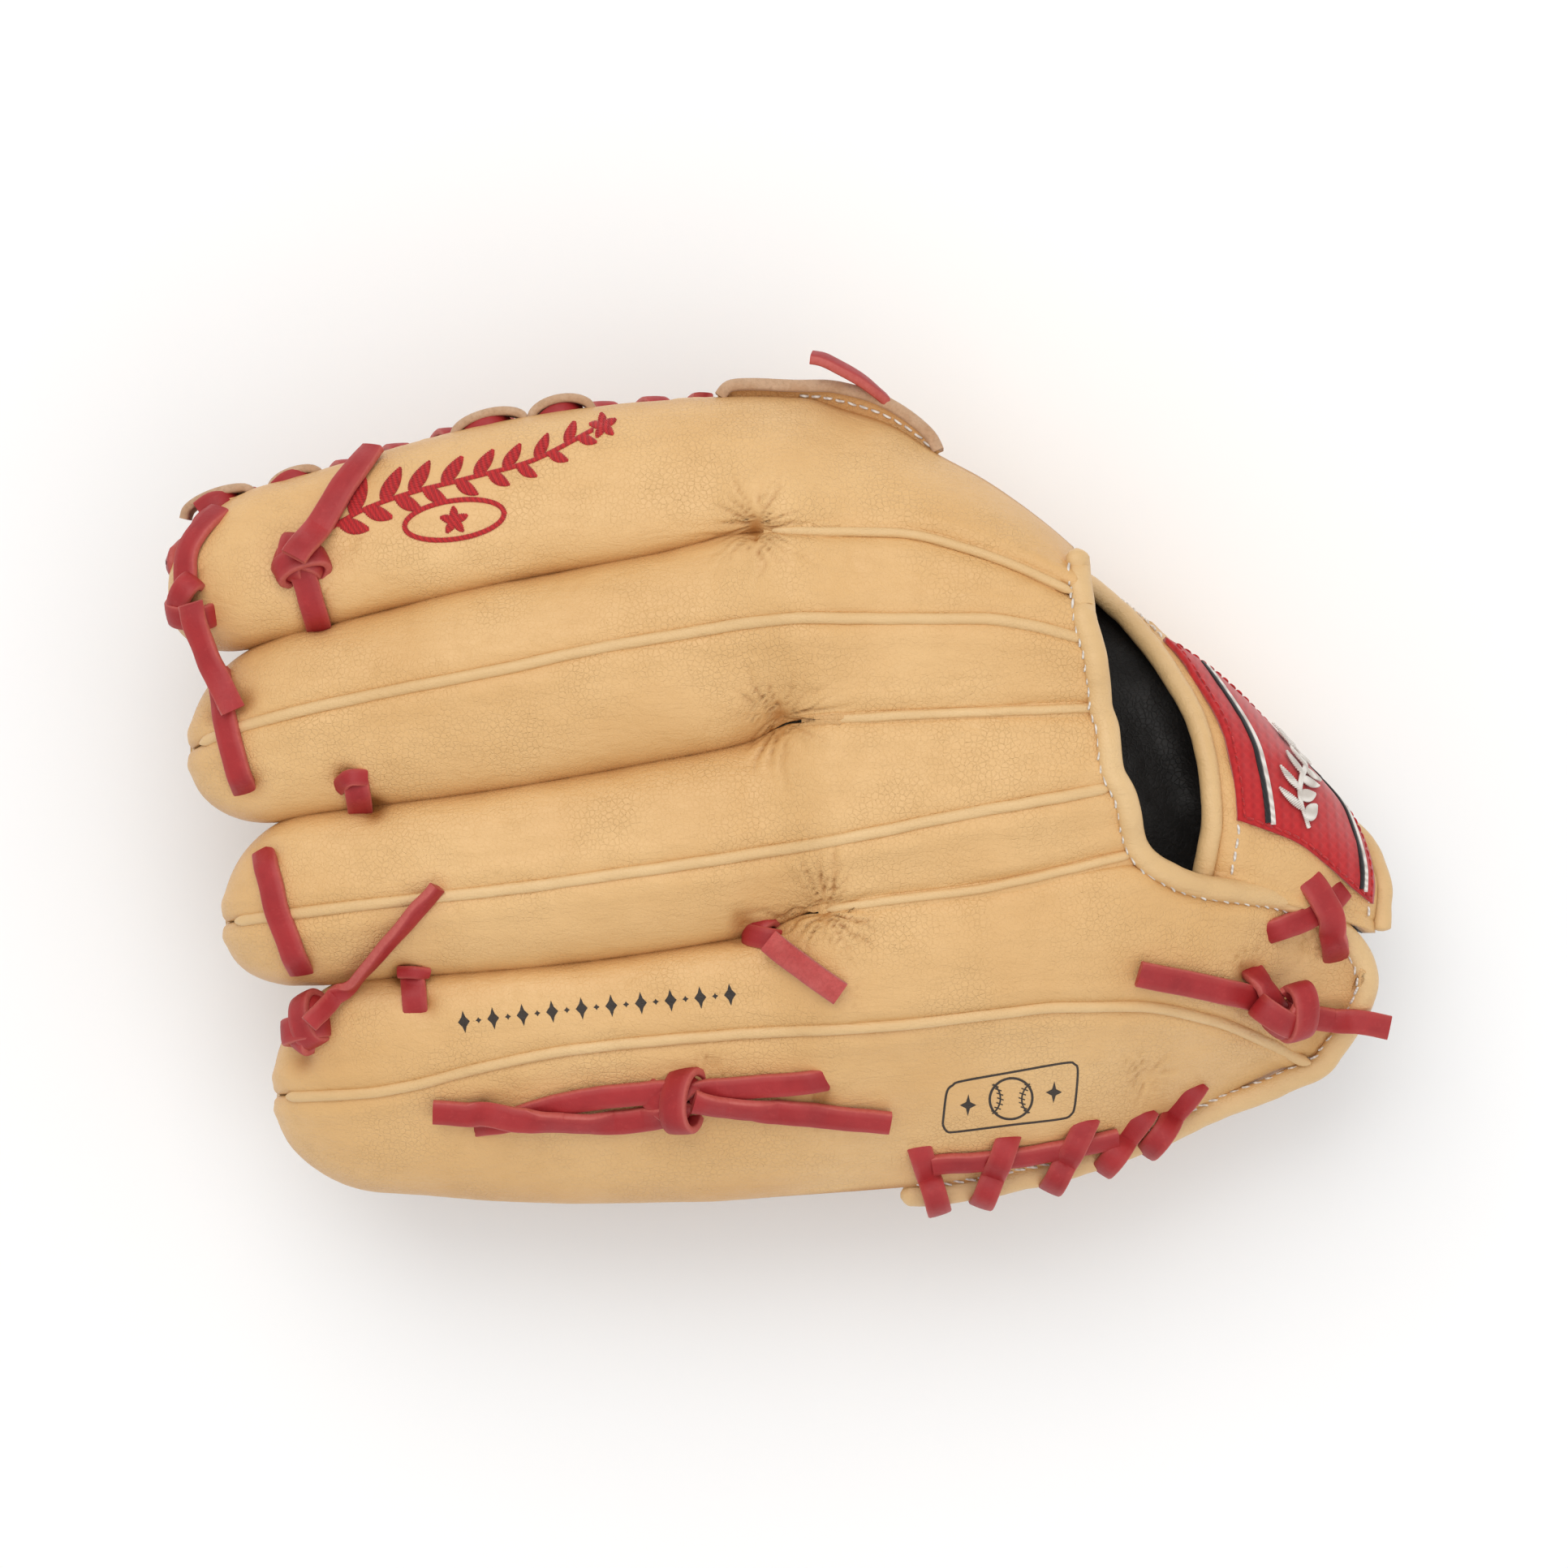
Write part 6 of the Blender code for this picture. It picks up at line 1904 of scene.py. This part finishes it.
ys = np.linspace(float(G4(117)) + 5, float(FOLD(117)) - 2, 50)
wrist_cap("palm_wrist_cap", 117.2, ys, lambda y: palm(np.full_like(y, 117.0), y) + 0.4,
          lambda y: palm(np.full_like(y, 117.0), y) + 8.2, FINGERS)
ys = np.linspace(float(THUMB_IN(115)) + 2, float(thumb_fold(115)) - 1, 40)
wrist_cap("thumb_wrist_cap", 115.4, ys, lambda y: thumb_palm(np.full_like(y, 115.0), y) - 8.2,
          lambda y: thumb_palm(np.full_like(y, 115.0), y) - 0.4, THUMB)


def tip_plug(name, x, y, z, body, radius=3.4):
    """Folded end of the stall's leather, drawn together at the tip."""
    path = along([(x + 0.9, y, z), (x + 3.0, y, z), (x + 7.0, y, z)], 0.4)
    section = oval(radius, radius * 0.9, 18)
    obj = sweep(name, path, (0, 0, 1), section, M_WELT, taper=2.2)
    attach(obj, body, (), "welt_leather")


for i, digit in enumerate(("index", "middle", "ring", "little")):
    x = TIP[i]
    y = float(MIDDLES[i](x) if MIDDLES[i] else (SEAMS[i](x) + SEAMS[i + 1](x)) / 2)
    tip_plug(digit + "_tip_plug", x, y, float(mid(x, y)) - 0.8, FINGERS)
tip_plug("thumb_tip_plug", THUMB_TIP, float(THUMB_OUT(THUMB_TIP) + THUMB_IN(THUMB_TIP)) / 2,
         THUMB_LEVEL, THUMB)


sew("white", "edge_stitches", M_WHITE_THREAD, FINGERS)
sew("strap", "strap_stitches", M_WHITE_THREAD, None, "strap")


# ------------------------------------------------------------------ bodies, floor, light and camera
EXTRA = {"edge_roll": ("heel_binding",)}
for obj, body, nodes, slot, blend in ATTACH:
    if blend:
        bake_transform(obj)
    else:
        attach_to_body(obj, body)
    nodes = nodes + EXTRA.get(obj.name, ())
    if nodes:
        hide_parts(*nodes)

LEFT = {"tan_leather": M_LEATHER, "welt_leather": M_WELT, "red_lace": M_LACE,
        "web_leather": M_LEATHER, "black_lining": M_BLACK, "wool_felt": M_FELT,
        "red_cloth": M_RED_CLOTH}
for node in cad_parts.values():
    if not node.hide_render:
        for part in node.material_slots:
            for key, material in LEFT.items():
                if part.material and part.material.name.startswith(key):
                    part.material = material
                    break

floor_mesh = bpy.data.meshes.new("studio_floor")
FLOOR_HALF, FLOOR_DROP = 6, -0.0002
corners = [(sx * FLOOR_HALF, sy * FLOOR_HALF, FLOOR_DROP)
           for sx, sy in ((-1, -1), (1, -1), (1, 1), (-1, 1))]
floor_mesh.from_pydata(corners, [], [(0, 1, 2, 3)])
floor = bpy.data.objects.new("studio_floor", floor_mesh)
bpy.context.scene.collection.objects.link(floor)
paper = Nodes("studio_paper")
tone = paper.mix(paper.noise(3.0, 2), (0.97, 0.97, 0.97, 1), (0.985, 0.985, 0.985, 1))
paper.finish(tone, 0.9, paper.bump(paper.noise(900, 2), 0.00002, 0.3), 0.1)
floor_mesh.materials.append(paper.m)

world = bpy.data.worlds.new("studio")
bpy.context.scene.world = world
world.use_nodes = True
world.node_tree.nodes["Background"].inputs["Color"].default_value = (1.0, 1.0, 1.0, 1.0)
world.node_tree.nodes["Background"].inputs["Strength"].default_value = 0.66


def area(name, place, at, size, power, color=(1, 1, 1)):
    light = bpy.data.lights.new(name, "AREA")
    light.shape = "DISK"
    light.size = size
    light.energy = power
    light.color = color
    obj = bpy.data.objects.new(name, light)
    obj.location = place
    obj.rotation_euler = (Vector(at) - Vector(place)).to_track_quat("-Z", "Y").to_euler()
    bpy.context.scene.collection.objects.link(obj)


for light in (("key", (-0.3, 0.9, 1.5), (0, 0, 0.06), 1.4, 9.5, (1.0, 0.985, 0.96)),
              ("fill", (0.7, -0.9, 1.3), (0, 0, 0.06), 1.6, 4.0, (0.97, 0.985, 1.0)),
              ("top", (0.1, 0.15, 2.0), (0, 0, 0.0), 1.8, 6.0)):
    area(*light)

CAMERA_HEIGHT = 0.09 + 1.2
camera_data = bpy.data.cameras.new("view")
camera_data.lens = 115.0
camera_data.sensor_width = 36.0
camera = bpy.data.objects.new("view", camera_data)
camera.location = (-0.0004, 0.0004, CAMERA_HEIGHT)
camera.rotation_euler = (0.0, 0.0, 0.0)
bpy.context.scene.collection.objects.link(camera)
bpy.context.scene.camera = camera
bpy.context.scene.view_settings.view_transform = "Standard"
